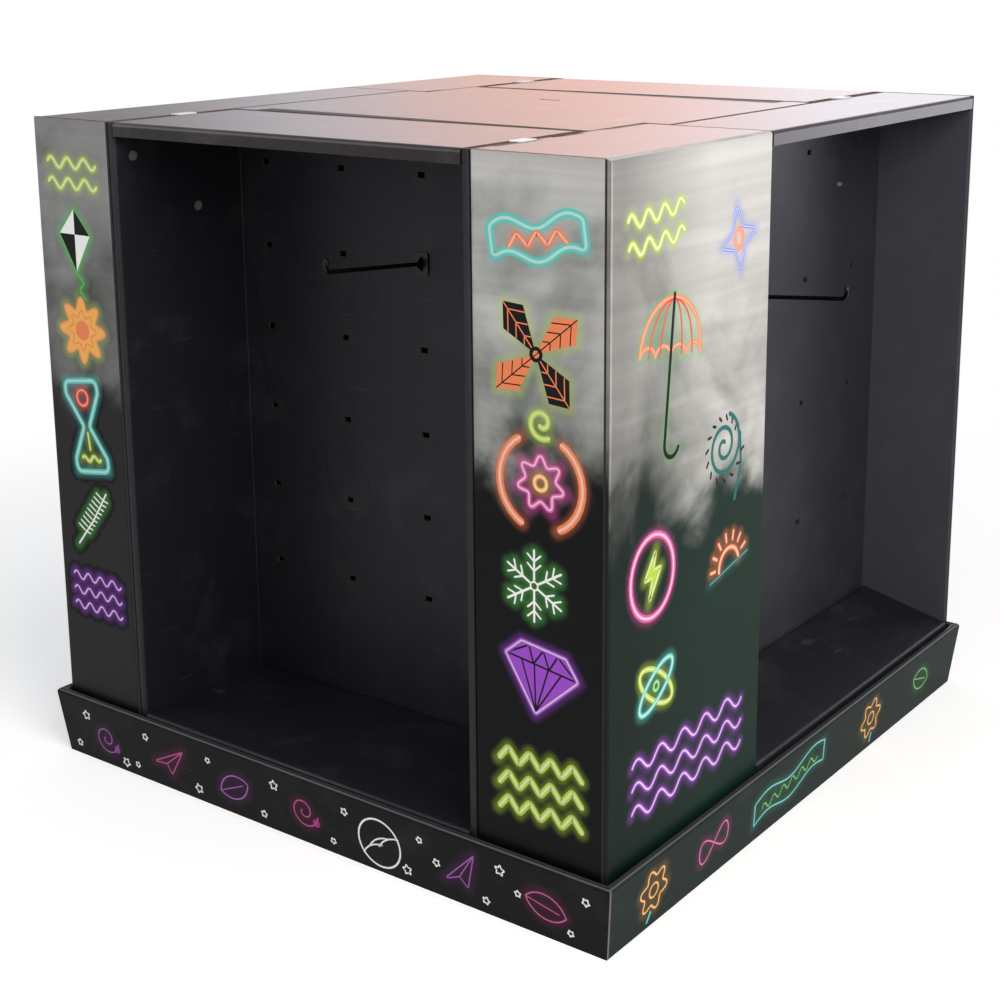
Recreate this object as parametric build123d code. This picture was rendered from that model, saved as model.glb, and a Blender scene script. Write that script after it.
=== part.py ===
from build123d import *
import os

# Pallet display rack: a four-sided corrugated display that stands on a low wooden pallet.
# Two long side modules (right and left) and two short ones (front and back) stand round a hollow core.
# Turned by 180 degrees about the vertical axis, the rack is the same again, apart from its two peg hooks.
# Front is -Y, right is +X, up is +Z. The origin is the middle of the footprint, on the floor. Millimetres.

# Board
board = 4.0
bend = 3.0
fit = 0.3
seam = 1.0

# Whole rack above the skirt
body_width = 1016.0
body_depth = 1060.0
rim_height = 106.0
body_height = 900.0

# Wooden pallet
deck_board_thickness = 12.0
base_board_thickness = 12.0
stringer_height = 74.0
stringer_width = 38.0
pallet_inset = 4.0
deck_board_width = 100.0
deck_board_count = 7
base_board_width = 90.0
base_board_count = 3
fork_notch_length = 220.0
fork_notch_depth = 28.0
fork_notch_radius = 12.0
fork_notch_spacing = 520.0

# Skirt round the pallet
skirt_foot_gap = 0.3
skirt_flare = 12.0
rim_width = 12.4
rim_bend = 4.0
skirt_flap = 36.0
skirt_tab_length = 45.0
skirt_tab_low = 4.0
skirt_tab_high = 60.0

# Side modules: a closed column at one end and an open bay beside it
column_depth = 203.0
column_length = 386.0
column_corner = 5.0
column_top_fold = 8.0
tuck_flap = 40.0
tuck_taper = 12.0
tuck_slot_length = 60.0
tuck_slot_width = 3.0
side_bay_depth = 157.0
side_flange = 34.0
hem_gap = 0.6
hem_slack = 0.02
header_height = 20.0
header_bend = 4.0
back_flange = 38.0
side_floor_back = 40.0
side_floor_front = 5.0

# Front and back modules
front_bay_depth = 248.0
wall_hollow = 4.6

# Peg holes
peg_hole_width = 13.0
peg_hole_height = 8.5
peg_top_margin = 76.0
front_peg_first = 54.0
front_peg_pitch = 152.4
front_peg_columns = 4
front_row_pitch = 127.0
front_peg_rows = 6
side_peg_first = 76.0
side_peg_pitch = 168.0
side_peg_columns = 4
side_row_pitch = 200.0
side_peg_rows = 4

# Core
core_flange = 50.0
cap_slot_length = 40.0
cap_slot_width = 7.0
cap_slot_x = -30.0
cap_slot_y = 110.0

# Push rivets
rivet_head_diameter = 14.0
rivet_head_thickness = 2.0
rivet_leg_width = 5.0
rivet_barb_width = 10.5
rivet_foot_length = 5.0
rivet_tip_width = 4.0
rivet_slot = 1.4
rivet_clearance = 0.3
wall_rivet_places = [(34.0, 50.0), (156.0, 136.0)]
column_rivet_places = [(156.0, 136.0)]

# Seam clips
clip_length = 38.0
clip_width = 20.0
clip_thickness = 1.2
clip_web = 0.6
clip_reach = 14.0
clip_corner = 3.0
clip_from_front_at_column = 110.0
clip_from_front_at_wall = 150.0

# Peg hooks
hook_plate_width = 23.0
hook_plate_height = 34.0
hook_plate_thickness = 2.6
hook_plate_corner = 4.0
hook_arm_width = 5.0
hook_arm_height = 6.0
hook_rib = 1.8
hook_paddle = 9.0
hook_paddle_thickness = 3.0
hook_gusset_height = 22.0
hook_gusset_length = 14.0
hook_rise_angle = 5.0
hook_tip_height = 13.0
hook_tip_bend = 9.0
hook_lug_width = 12.0
hook_lug_height = 7.6
hook_latch_height = 12.0
hook_latch_thickness = 3.0
front_hook_length = 203.0
side_hook_length = 152.0
front_hook_column = 2
side_hook_column = 1
hook_row = 1

# Values worked out from the sizes above
half_width = body_width / 2
half_depth = body_depth / 2
half_board = board / 2
top_z = rim_height + body_height
stringer_z = base_board_thickness
deck_z = base_board_thickness + stringer_height
foot_z = deck_z + deck_board_thickness
column_back_x = half_width - column_depth
column_side_y = column_length - half_depth
side_panel_x = half_width - side_bay_depth
side_back_x = side_panel_x - board
front_panel_y = front_bay_depth - half_depth
front_back_y = front_panel_y + board
front_left_x = -side_back_x + seam
front_right_x = column_back_x - seam
double_wall = 2 * board + wall_hollow
front_inner_left_x = front_left_x + double_wall
front_inner_right_x = front_right_x - double_wall
end_wall = 2 * board + hem_gap
side_inner_y = half_depth - end_wall
pallet_half_width = half_width - pallet_inset
pallet_half_depth = half_depth - pallet_inset
peg_top_z = top_z - peg_top_margin
front_first_x = front_inner_left_x + front_peg_first
side_first_y = column_side_y + side_peg_first
front_peg_places = [front_first_x + index * front_peg_pitch for index in range(front_peg_columns)]
front_peg_heights = [peg_top_z - index * front_row_pitch for index in range(front_peg_rows)]
side_peg_places = [side_first_y + index * side_peg_pitch for index in range(side_peg_columns)]
side_peg_heights = [peg_top_z - index * side_row_pitch for index in range(side_peg_rows)]


def bent_line(points, radii):
    """Line through the points, with a radius at each corner."""
    if radii:
        return FilletPolyline(*points, radius=radii)
    return Line(*points)


def folded_face(points, radii):
    """Section of a sheet that is folded along a centre line, with a bend radius at each corner."""
    left, right, left_radii, right_radii = [], [], [], []
    places = [Vector(x, y) for x, y in points]
    runs = [(b - a).normalized() for a, b in zip(places, places[1:])]
    for index, place in enumerate(places):
        before = runs[max(index - 1, 0)]
        after = runs[min(index, len(runs) - 1)]
        side = Vector(-before.Y - after.Y, before.X + after.X)
        side = side * (half_board / (1 + before.dot(after)))
        left.append(place + side)
        right.append(place - side)
        if 0 < index < len(runs):
            inner, outer = radii[index - 1] - half_board, radii[index - 1] + half_board
            turns_left = before.X * after.Y - before.Y * after.X > 0
            left_radii.append(inner if turns_left else outer)
            right_radii.append(outer if turns_left else inner)
    outline = [bent_line(left, left_radii), bent_line(right, right_radii)]
    outline += [Line(left[0], right[0]), Line(left[-1], right[-1])]
    return make_face([edge for line in outline for edge in line.edges()])


def standing_sheet(points, radii, low, high):
    """Sheet folded along upright creases: the section lies in plan."""
    return Pos(0, 0, low) * extrude(folded_face(points, radii), amount=high - low)


def sheet_across_x(points, radii, low, high):
    """Sheet folded along creases that run in X: the section is (Y, Z)."""
    plane = Plane(origin=(low, 0, 0), x_dir=(0, 1, 0), z_dir=(1, 0, 0))
    return extrude(plane * folded_face(points, radii), amount=high - low)


def sheet_across_y(points, radii, low, high):
    """Sheet folded along creases that run in Y: the section is (X, Z)."""
    plane = Plane(origin=(0, high, 0), x_dir=(1, 0, 0), z_dir=(0, -1, 0))
    return extrude(plane * folded_face(points, radii), amount=high - low)


def block(low, high):
    """Box between two corners."""
    size = [b - a for a, b in zip(low, high)]
    centre = [(a + b) / 2 for a, b in zip(low, high)]
    return Pos(*centre) * Box(*size)


# Wooden pallet


def make_stringer(y):
    """Stringer along X with two notches for the forks in its underside."""
    size = (2 * pallet_half_width, stringer_width, stringer_height)
    stringer = Pos(0, y, stringer_z + stringer_height / 2) * Box(*size)
    for side in (-1, 1):
        x = side * fork_notch_spacing / 2
        notch = Rectangle(fork_notch_length, 2 * fork_notch_depth)
        notch = fillet(notch.vertices(), fork_notch_radius)
        plane = Plane(origin=(x, y + stringer_width, stringer_z), x_dir=(1, 0, 0), z_dir=(0, -1, 0))
        stringer -= extrude(plane * notch, amount=2 * stringer_width)
    return stringer


def make_boards(count, width, low, high):
    """Evenly spaced boards along Y, the outer ones flush with the stringers' ends."""
    span = 2 * pallet_half_width - width
    boards = []
    for index in range(count):
        x = span * (index / (count - 1) - 0.5)
        near, far = -pallet_half_depth, pallet_half_depth
        boards.append(block((x - width / 2, near, low), (x + width / 2, far, high)))
    return boards


# Skirt


def skirt_offset(z):
    """How far the skirt's outer face stands out from the body at a height."""
    return skirt_foot_gap + board + skirt_flare * z / rim_height


def mitre_wedge(half_x, half_y, left_gap):
    """Space outside the front edge of the body, between the 45 degree lines through its corners."""
    inner, outer = 4 * board, 2 * rim_width
    points = [
        (left_gap + inner - half_x, inner - half_y),
        (half_x - inner, inner - half_y),
        (half_x + outer, -half_y - outer),
        (left_gap - half_x - outer, -half_y - outer),
    ]
    return extrude(make_face(Polyline(*points, close=True)), amount=2 * rim_height)


def make_skirt_panel(half_x, half_y, left_gap):
    """Front panel of a skirt with its rolled rim and inner flap, mitred at both ends."""
    lean = skirt_flare / rim_height
    top = rim_height - half_board
    rim_out = skirt_offset(top) - half_board
    rim_in = rim_out - rim_width + board
    points = [
        (skirt_offset(0) - half_board, 0),
        (rim_out, top),
        (rim_in, top),
        (rim_in - lean * skirt_flap, top - skirt_flap),
    ]
    plane = Plane(origin=(2 * half_x, -half_y, 0), x_dir=(0, -1, 0), z_dir=(-1, 0, 0))
    face = plane * folded_face(points, [rim_bend, rim_bend])
    return extrude(face, amount=4 * half_x) & mitre_wedge(half_x, half_y, left_gap)


def make_skirt_tab(half_x, half_y):
    """Glue tab at the right end of the front panel: it lies inside the right panel's wall."""
    inset = half_board + board + fit
    line = [(half_x + skirt_offset(z) - inset, z) for z in (skirt_tab_low, skirt_tab_high)]
    ahead = skirt_offset(rim_height)
    tab = sheet_across_y(line, [], -half_y - ahead, skirt_tab_length - half_y)
    behind = [
        (half_y + skirt_offset(0), 0),
        (half_y + ahead, rim_height),
        (half_y - skirt_tab_length - board, rim_height),
        (half_y - skirt_tab_length - board, 0),
    ]
    plane = Plane(origin=(2 * half_x, 0, 0), x_dir=(0, -1, 0), z_dir=(-1, 0, 0))
    return tab & extrude(plane * make_face(Polyline(*behind, close=True)), amount=4 * half_x)


def make_skirt():
    """One half of the skirt: the front panel and the left one, folded at the corner between them."""
    skirt = make_skirt_panel(half_width, half_depth, 0)
    skirt += Rot(0, 0, -90) * make_skirt_panel(half_depth, half_width, fit)
    return skirt + make_skirt_tab(half_width, half_depth)


# Side modules


def wall_section(plan, wall, fold):
    """Upright post with the given plan whose top edge on the right is rounded over."""
    low, high, right = foot_z + wall, top_z - wall, half_width - wall
    left = right - body_width
    outline = Polyline((left, low), (right, low), (right, high), (left, high), close=True)
    section = make_face(outline)
    section = fillet(section.vertices().sort_by_distance((right, high))[0], fold)
    plane = Plane(origin=(0, half_depth, 0), x_dir=(1, 0, 0), z_dir=(0, -1, 0))
    bar = extrude(plane * section, amount=body_depth)
    return bar & extrude(Pos(0, 0, low) * plan, amount=high - low)


def make_column():
    """Closed printed column: four walls, a base and a top that folds over from the right face."""
    width, length = column_depth, column_length - fit
    place = Pos(half_width - width / 2, length / 2 - half_depth)
    outer = fillet(Rectangle(width, length).vertices(), column_corner)
    inner = Rectangle(width - 2 * board, length - 2 * board)
    inner = fillet(inner.vertices(), column_corner - half_board)
    column = wall_section(place * outer, 0, column_top_fold)
    column -= wall_section(place * inner, board, column_top_fold - board)
    back, near, far = column_back_x + board, board - half_depth, length - half_depth - board
    fold = half_width - column_top_fold
    low, high = top_z - board - half_board, top_z + board
    flap_low = (back + seam, near + tuck_taper, top_z - tuck_flap)
    column += block(flap_low, (back + seam + board, far - tuck_taper, top_z - half_board))
    column -= block((back, near, low), (back + seam, far, high))
    column -= block((back, near, low), (fold, near + seam, high))
    column -= block((back, far - seam, low), (fold, far, high))
    middle = (near + far - tuck_slot_length) / 2
    column -= block((back, middle, low), (back + tuck_slot_width, middle + tuck_slot_length, high))
    return column - rivet_holes(column_back_x - board, back + board, -half_depth, 1, column_rivet_places)


def make_side_bay_wall():
    """Peg panel and end wall of a side bay, one sheet with a glue flange and a hemmed front edge."""
    panel_x, wall_y = side_panel_x - half_board, half_depth - half_board
    front_x, hem_y = half_width - half_board, half_depth - end_wall + half_board
    points = [
        (side_back_x - side_flange, column_side_y + half_board),
        (panel_x, column_side_y + half_board),
        (panel_x, wall_y),
        (front_x, wall_y),
        (front_x, hem_y),
        (side_panel_x + fit, hem_y),
    ]
    hem = (wall_y - hem_y) / 2 - hem_slack
    wall = standing_sheet(points, [bend, bend, hem, hem], foot_z, top_z)
    holes = []
    for y in side_peg_places:
        for z in side_peg_heights:
            low = (side_back_x - board, y - peg_hole_width / 2, z - peg_hole_height / 2)
            high = (side_panel_x + board, y + peg_hole_width / 2, z + peg_hole_height / 2)
            holes.append(block(low, high))
    low_x, high_x = side_back_x - board, side_panel_x + board
    return wall - holes - rivet_holes(low_x, high_x, half_depth, -1, wall_rivet_places)


def make_side_top():
    """Top of a side bay with its header in front and a glue flange down the peg panel."""
    front_x, back_x = half_width - half_board, side_panel_x + fit + half_board
    points = [
        (front_x, top_z - header_height),
        (front_x, top_z - half_board),
        (back_x, top_z - half_board),
        (back_x, top_z - back_flange),
    ]
    return sheet_across_y(points, [header_bend, bend], column_side_y + fit, side_inner_y - fit)


def make_side_floor():
    """Sloped floor of a side bay: it stands on a tall back leg and a low front one."""
    front_x, back_x = half_width - fit - half_board, side_panel_x + fit + half_board
    points = [
        (back_x, foot_z),
        (back_x, rim_height + side_floor_back - half_board),
        (front_x, rim_height + side_floor_front - half_board),
        (front_x, foot_z),
    ]
    return sheet_across_y(points, [bend, bend], column_side_y + fit, side_inner_y - fit)


# Front and back modules


def make_front_bay_wall():
    """Rolled double side walls and peg panel of the front bay, one sheet."""
    outer_left, inner_left = front_left_x + half_board, front_inner_left_x - half_board
    outer_right, inner_right = front_right_x - half_board, front_inner_right_x + half_board
    front_y, panel_y = half_board - half_depth, front_panel_y + half_board
    points = [
        (outer_left, front_back_y),
        (outer_left, front_y),
        (inner_left, front_y),
        (inner_left, panel_y),
        (inner_right, panel_y),
        (inner_right, front_y),
        (outer_right, front_y),
        (outer_right, front_back_y),
    ]
    wall = standing_sheet(points, [bend] * 6, foot_z, top_z)
    holes = []
    for x in front_peg_places:
        for z in front_peg_heights:
            low = (x - peg_hole_width / 2, front_panel_y - board, z - peg_hole_height / 2)
            high = (x + peg_hole_width / 2, front_back_y + board, z + peg_hole_height / 2)
            holes.append(block(low, high))
    left, right = front_left_x - board, front_right_x + board
    holes += rivet_holes(left, front_inner_left_x + board, -half_depth, 1, wall_rivet_places)
    holes += rivet_holes(front_inner_right_x - board, right, -half_depth, 1, column_rivet_places)
    return wall - holes


def make_front_top():
    """Top of the front bay with its header in front and a glue flange down the peg panel."""
    front_y, back_y = half_board - half_depth, front_panel_y - fit - half_board
    points = [
        (front_y, top_z - header_height),
        (front_y, top_z - half_board),
        (back_y, top_z - half_board),
        (back_y, top_z - back_flange),
    ]
    low, high = front_inner_left_x + fit, front_inner_right_x - fit
    return sheet_across_x(points, [header_bend, bend], low, high)


def make_front_floor():
    """Level floor of the front bay on two low legs."""
    front_y, back_y = fit + half_board - half_depth, front_panel_y - fit - half_board
    points = [
        (front_y, foot_z),
        (front_y, rim_height - half_board),
        (back_y, rim_height - half_board),
        (back_y, foot_z),
    ]
    low, high = front_inner_left_x + fit, front_inner_right_x - fit
    return sheet_across_x(points, [bend, bend], low, high)


# Core


def make_core_cap():
    """Lid of the hollow core with a finger slot and a flange at its front and back edges."""
    edge_y, edge_x = -front_back_y - seam, side_back_x - seam
    line_y = edge_y - half_board
    points = [
        (-line_y, top_z - core_flange),
        (-line_y, top_z - half_board),
        (line_y, top_z - half_board),
        (line_y, top_z - core_flange),
    ]
    cap = sheet_across_x(points, [bend, bend], -edge_x, edge_x)
    notch_x, notch_y = column_back_x - seam, column_side_y + board + seam
    notch = block((notch_x, -half_depth, foot_z), (half_width, notch_y, top_z + board))
    cap -= [notch, Rot(0, 0, 180) * notch]
    slot = SlotOverall(cap_slot_length, cap_slot_width)
    return cap - Pos(cap_slot_x, cap_slot_y, top_z - 2 * board) * extrude(slot, amount=3 * board)


def make_divider(reach, notch_reach):
    """Upright board across the core, along Y, with a half slot for the other one from above."""
    high = top_z - board - fit
    divider = block((-half_board, -reach, foot_z), (half_board, reach, high))
    slot = half_board + fit
    divider -= block((-board, -slot, (foot_z + high) / 2), (board, slot, high))
    for side in (-1, 1):
        near, far = sorted((side * notch_reach, side * (reach + board)))
        divider -= block((-board, near, top_z - core_flange - fit), (board, far, high))
    return divider


def make_core_dividers():
    """The two crossed boards that carry the lid and stiffen the peg panels."""
    reach = -front_back_y - fit
    flange_reach = -front_back_y - seam - board - fit
    along = make_divider(reach, flange_reach)
    across = make_divider(side_back_x - fit, side_back_x + board)
    middle = (0, 0, (foot_z + top_z - board - fit) / 2)
    flip = Pos(*middle) * Rot(180, 0, 0) * Pos(*[-value for value in middle])
    return along, Rot(0, 0, 90) * (flip * across)


# Fasteners


def rivet_holes(low_x, high_x, face_y, inwards, places):
    """Holes along X for push rivets, at places measured in from a front or back face and down from the top."""
    radius = rivet_leg_width / 2**0.5 + rivet_clearance
    holes = []
    for inset, drop in places:
        place = Pos((low_x + high_x) / 2, face_y + inwards * inset, top_z - drop)
        holes.append(place * Rot(0, 90, 0) * Cylinder(radius, high_x - low_x))
    return holes


def make_rivet(grip):
    """Push rivet along +X: round head on the near side, and two square legs with barbs beyond the boards."""
    leg, barb, tip = rivet_leg_width / 2, rivet_barb_width / 2, rivet_tip_width / 2
    reach = grip + rivet_foot_length
    side = [(0, leg), (grip, leg), (grip, barb), (reach, tip)]
    outline = side + [(x, -y) for x, y in reversed(side)]
    legs = extrude(make_face(Polyline(*outline, close=True)), amount=leg, both=True)
    legs -= block((grip / 2, -rivet_slot / 2, -leg), (reach, rivet_slot / 2, leg))
    head = Pos(-rivet_head_thickness / 2, 0, 0) * Rot(0, 90, 0)
    return legs + head * Cylinder(rivet_head_diameter / 2, rivet_head_thickness)


def make_front_rivets():
    """Rivets through both side walls of the front bay into the modules beside it."""
    left_grip = front_inner_left_x + side_panel_x
    right_grip = column_back_x + board - front_inner_right_x
    rivets = []
    for inset, drop in wall_rivet_places:
        place = Pos(front_inner_left_x, inset - half_depth, top_z - drop)
        rivets.append(place * Rot(0, 0, 180) * make_rivet(left_grip))
    for inset, drop in column_rivet_places:
        place = Pos(front_inner_right_x, inset - half_depth, top_z - drop)
        rivets.append(place * make_rivet(right_grip))
    return rivets


def make_seam_clips():
    """White clips pushed into the seams between the tops of neighbouring modules."""
    plate = Pos(0, 0, clip_thickness / 2) * Box(clip_width, clip_length, clip_thickness)
    plate = chamfer(plate.edges().filter_by(Axis.Z), clip_corner)
    clip = plate + Pos(0, 0, -clip_reach / 2) * Box(clip_web, clip_length / 2, clip_reach)
    clips = []
    for x, inset in (
        (column_back_x - seam / 2, clip_from_front_at_column),
        (-side_back_x + seam / 2, clip_from_front_at_wall),
    ):
        placed = Pos(x, inset - half_depth, top_z) * clip
        clips += [placed, Rot(0, 0, 180) * placed]
    return clips


# Peg hooks


def make_hook(length):
    """Peg hook that points to -Y from a peg hole at the origin, with the panel's face at y = 0."""
    plate = fillet(Rectangle(hook_plate_width, hook_plate_height).vertices(), hook_plate_corner)
    facing = Plane(origin=(0, 0, 0), x_dir=(1, 0, 0), z_dir=(0, -1, 0))
    hook = extrude(facing * plate, amount=hook_plate_thickness)
    run = Vector(0, -length, 0).rotate(Axis.X, -hook_rise_angle)
    tip = run + Vector(0, 0, hook_tip_height)
    start = run * (hook_plate_thickness / 2 / length)
    path = FilletPolyline(start, run, tip, radius=hook_tip_bend)
    section = Rectangle(hook_arm_width, hook_rib) + Rectangle(hook_rib, hook_arm_height)
    hook += sweep(Plane(origin=start, x_dir=(1, 0, 0), z_dir=run) * section, path=path)
    hook += Pos(*tip) * Rot(90, 0, 0) * Cylinder(hook_paddle / 2, hook_paddle_thickness)
    root = -hook_plate_thickness + fit
    corners = [(root, -hook_gusset_height / 2), (root, hook_gusset_height / 2), (root - hook_gusset_length, 0)]
    gusset = Plane(origin=(0, 0, 0), x_dir=(0, 1, 0), z_dir=(1, 0, 0)) * make_face(Polyline(*corners, close=True))
    hook += extrude(gusset, amount=hook_rib / 2, both=True)
    lug_low = (-hook_lug_width / 2, -hook_plate_thickness / 2, -hook_lug_height / 2)
    hook += block(lug_low, (hook_lug_width / 2, board + hook_latch_thickness, hook_lug_height / 2))
    latch_low = (-hook_lug_width / 2, board, -hook_lug_height / 2)
    latch_high = (hook_lug_width / 2, board + hook_latch_thickness, hook_latch_height)
    return hook + block(latch_low, latch_high)


# All nodes: what stands once, and what stands twice, turned by 180 degrees

nodes = {}
stringer_reach = pallet_half_depth - stringer_width / 2
for name, y in (("front", -stringer_reach), ("middle", 0.0), ("back", stringer_reach)):
    nodes["pallet_stringer_" + name] = make_stringer(y)
for index, deck in enumerate(make_boards(deck_board_count, deck_board_width, deck_z, foot_z)):
    nodes["pallet_deck_board_" + str(index + 1)] = deck
for index, base in enumerate(make_boards(base_board_count, base_board_width, 0, stringer_z)):
    nodes["pallet_base_board_" + str(index + 1)] = base

pairs = {
    ("skirt_front_left", "skirt_back_right"): make_skirt(),
    ("right_column", "left_column"): make_column(),
    ("right_bay_wall", "left_bay_wall"): make_side_bay_wall(),
    ("right_top", "left_top"): make_side_top(),
    ("right_floor", "left_floor"): make_side_floor(),
    ("front_bay_wall", "back_bay_wall"): make_front_bay_wall(),
    ("front_top", "back_top"): make_front_top(),
    ("front_floor", "back_floor"): make_front_floor(),
    ("front_rivets", "back_rivets"): Compound(children=make_front_rivets()),
}
for (name, turned_name), piece in pairs.items():
    nodes[name] = piece
    nodes[turned_name] = Rot(0, 0, 180) * piece

nodes["core_cap"] = make_core_cap()
nodes["core_divider_along"], nodes["core_divider_across"] = make_core_dividers()
nodes["seam_clips"] = Compound(children=make_seam_clips())
front_hook_place = (front_peg_places[front_hook_column], front_panel_y, front_peg_heights[hook_row])
nodes["front_peg_hook"] = Pos(*front_hook_place) * make_hook(front_hook_length)
side_hook_place = (side_panel_x, side_peg_places[side_hook_column], side_peg_heights[hook_row])
nodes["right_peg_hook"] = Pos(*side_hook_place) * Rot(0, 0, 90) * make_hook(side_hook_length)

os.makedirs("parts", exist_ok=True)
for name, piece in nodes.items():
    export_step(piece, "parts/" + name + ".step")
print(len(nodes), "nodes written")
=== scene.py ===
# %% [markdown]
# # A pallet display rack
# The rack is corrugated board that was printed, creased, folded and glued. Its solids come from the packed
# model, at their real size, and this file gives them their looks. Each solid keeps its place and its shape.
# What is added lies on the board: the print, and the cut edges with their flutes.

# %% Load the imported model
import math

import bpy
from mathutils import Matrix, Vector, kdtree


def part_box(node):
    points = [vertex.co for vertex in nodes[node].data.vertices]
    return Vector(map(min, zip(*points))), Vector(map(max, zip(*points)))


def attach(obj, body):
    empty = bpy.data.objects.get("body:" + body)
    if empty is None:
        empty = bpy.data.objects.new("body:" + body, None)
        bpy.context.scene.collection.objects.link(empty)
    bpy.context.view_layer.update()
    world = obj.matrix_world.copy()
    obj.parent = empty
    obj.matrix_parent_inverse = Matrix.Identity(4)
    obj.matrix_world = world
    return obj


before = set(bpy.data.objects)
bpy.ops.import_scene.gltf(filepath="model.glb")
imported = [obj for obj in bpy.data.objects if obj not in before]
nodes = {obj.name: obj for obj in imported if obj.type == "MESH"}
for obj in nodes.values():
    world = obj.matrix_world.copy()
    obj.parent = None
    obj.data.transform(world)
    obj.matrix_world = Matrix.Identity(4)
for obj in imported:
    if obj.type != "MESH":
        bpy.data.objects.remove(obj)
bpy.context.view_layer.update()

print("nodes:", len(nodes))

# %% [markdown]
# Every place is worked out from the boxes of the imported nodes, so nothing is fitted by eye. The rack
# repeats when it is turned by 180 degrees, so one front and one right side describe all four.

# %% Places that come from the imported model
MM = 0.001
half_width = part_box("right_column")[1].x
half_depth = -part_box("right_column")[0].y
column_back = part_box("right_column")[0].x
column_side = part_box("right_column")[1].y
rim_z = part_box("skirt_front_left")[1].z
top_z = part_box("right_column")[1].z
cap_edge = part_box("core_cap")[1].y
side_bay_depth = 157 * MM
front_bay_depth = 248 * MM
side_panel = half_width - side_bay_depth
front_panel = half_depth - front_bay_depth
board = 4 * MM
skin = 0.25 * MM
half_turn = Matrix.Rotation(math.pi, 4, "Z")
print("body", round(2 * half_width, 4), "x", round(2 * half_depth, 4), "top", round(top_z, 4))

# %% [markdown]
# The camera stands a little above the top of the rack. Its place and its turn come from the corners of the
# rack in the photograph. The lens is shifted, so that the upright edges stay nearly upright in the picture.

# %% Camera
picture_side = 1000
focal_pixels = 1743
principal_row = 358
sensor_width = 36
camera_place = Vector((1.591, -2.178, 1.231))
camera_azimuth = math.radians(37.0)
camera_elevation = math.radians(13.0)
camera_roll = math.radians(-0.48)

camera = bpy.data.objects.new("camera", bpy.data.cameras.new("camera"))
bpy.context.scene.collection.objects.link(camera)
turn = Matrix.Rotation(camera_azimuth, 4, "Z") @ Matrix.Rotation(math.pi / 2 - camera_elevation, 4, "X")
camera.matrix_world = Matrix.Translation(camera_place) @ turn @ Matrix.Rotation(camera_roll, 4, "Z")
camera.data.sensor_width = sensor_width
camera.data.lens = sensor_width * focal_pixels / picture_side
camera.data.shift_y = (principal_row - picture_side / 2) / picture_side
bpy.context.scene.camera = camera
bpy.context.scene.view_settings.view_transform = "Standard"
print("lens", round(camera.data.lens, 1), "shift", camera.data.shift_y)

# %% [markdown]
# Three helpers are used by every material. Colours are written as sRGB hex values, as a colour picker shows
# them, and turned to the linear values that the renderer needs. Nodes are added by one function, which
# links whatever is a node or a socket and sets whatever is a plain value. The third one makes an empty
# material.

# %% Helpers for colours and nodes
def linear(colour):
    """sRGB hex colour as linear red, green, blue and alpha."""
    parts = [int(colour[index : index + 2], 16) / 255 for index in (1, 3, 5)]
    return [part / 12.92 if part <= 0.04045 else ((part + 0.055) / 1.055) ** 2.4 for part in parts] + [1]


def add(tree, kind, inputs=(), **settings):
    """Adds a node with its settings, and links or sets its inputs, which are given by name or in order."""
    node = tree.nodes.new(kind)
    for name, value in settings.items():
        setattr(node, name, value)
    for name, value in inputs.items() if isinstance(inputs, dict) else enumerate(inputs):
        sockets = [socket for socket in node.inputs if socket.enabled and socket.name == name]
        socket = node.inputs[name] if isinstance(name, int) else sockets[0]
        if isinstance(value, bpy.types.Node):
            value = [output for output in value.outputs if output.enabled][0]
        if isinstance(value, bpy.types.NodeSocket):
            tree.links.new(value, socket)
        else:
            socket.default_value = value
    return node


def new_material(name):
    """Empty material, for an output node to be added. Returns the material and its tree."""
    material = bpy.data.materials.new(name)
    material.use_nodes = True
    material.node_tree.nodes.clear()
    return material, material.node_tree


# %% [markdown]
# The studio is a pale floor and a white surround, with soft lamps. The floor is matt paper, so it keeps the
# rack's shadow. For the camera it turns to plain white further out, where it would otherwise end in a line.

# %% Floor
floor_size = 30.0
near_rack, far_from_rack = 1.0, 2.2
paper_glow = 0.42

floor_mesh = bpy.data.meshes.new("studio_floor")
edge = floor_size / 2
corners = [(-edge, -edge, 0), (edge, -edge, 0), (edge, edge, 0), (-edge, edge, 0)]
floor_mesh.from_pydata(corners, [], [(0, 1, 2, 3)])
floor = bpy.data.objects.new("studio_floor", floor_mesh)
bpy.context.scene.collection.objects.link(floor)

paper, tree = new_material("seamless_background_paper")
matte = add(tree, "ShaderNodeBsdfDiffuse", {"Color": linear("#e4e4e4")})
glow = add(tree, "ShaderNodeEmission", {"Color": linear("#ffffff"), "Strength": paper_glow})
lit = add(tree, "ShaderNodeAddShader", [matte, glow])
white_out = add(tree, "ShaderNodeEmission", {"Color": linear("#ffffff"), "Strength": 1.0})
place = add(tree, "ShaderNodeTexCoord").outputs["Object"]
spot = add(tree, "ShaderNodeVectorMath", [place], operation="LENGTH").outputs["Value"]
away = add(tree, "ShaderNodeMapRange", {"Value": spot, "From Min": near_rack, "From Max": far_from_rack})
shown = add(tree, "ShaderNodeMixShader", [away, lit, white_out])
camera_ray = add(tree, "ShaderNodeLightPath").outputs["Is Camera Ray"]
seen = add(tree, "ShaderNodeMixShader", [camera_ray, matte, shown])
add(tree, "ShaderNodeOutputMaterial", {"Surface": seen})
floor_mesh.materials.append(paper)
print("floor:", floor_size, "m")

# %% [markdown]
# The camera sees a white world. Mirror rays see it too, but not as evenly: it is brighter behind the rack,
# brightest in one direction, and warm beside that, like a hall with a window and warm lamps at its far end.
# The gloss of the tops shows it at a low angle. Other rays get a soft, even light, and the lamps stay at a
# level at which a colour renders about as it is written.

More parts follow.
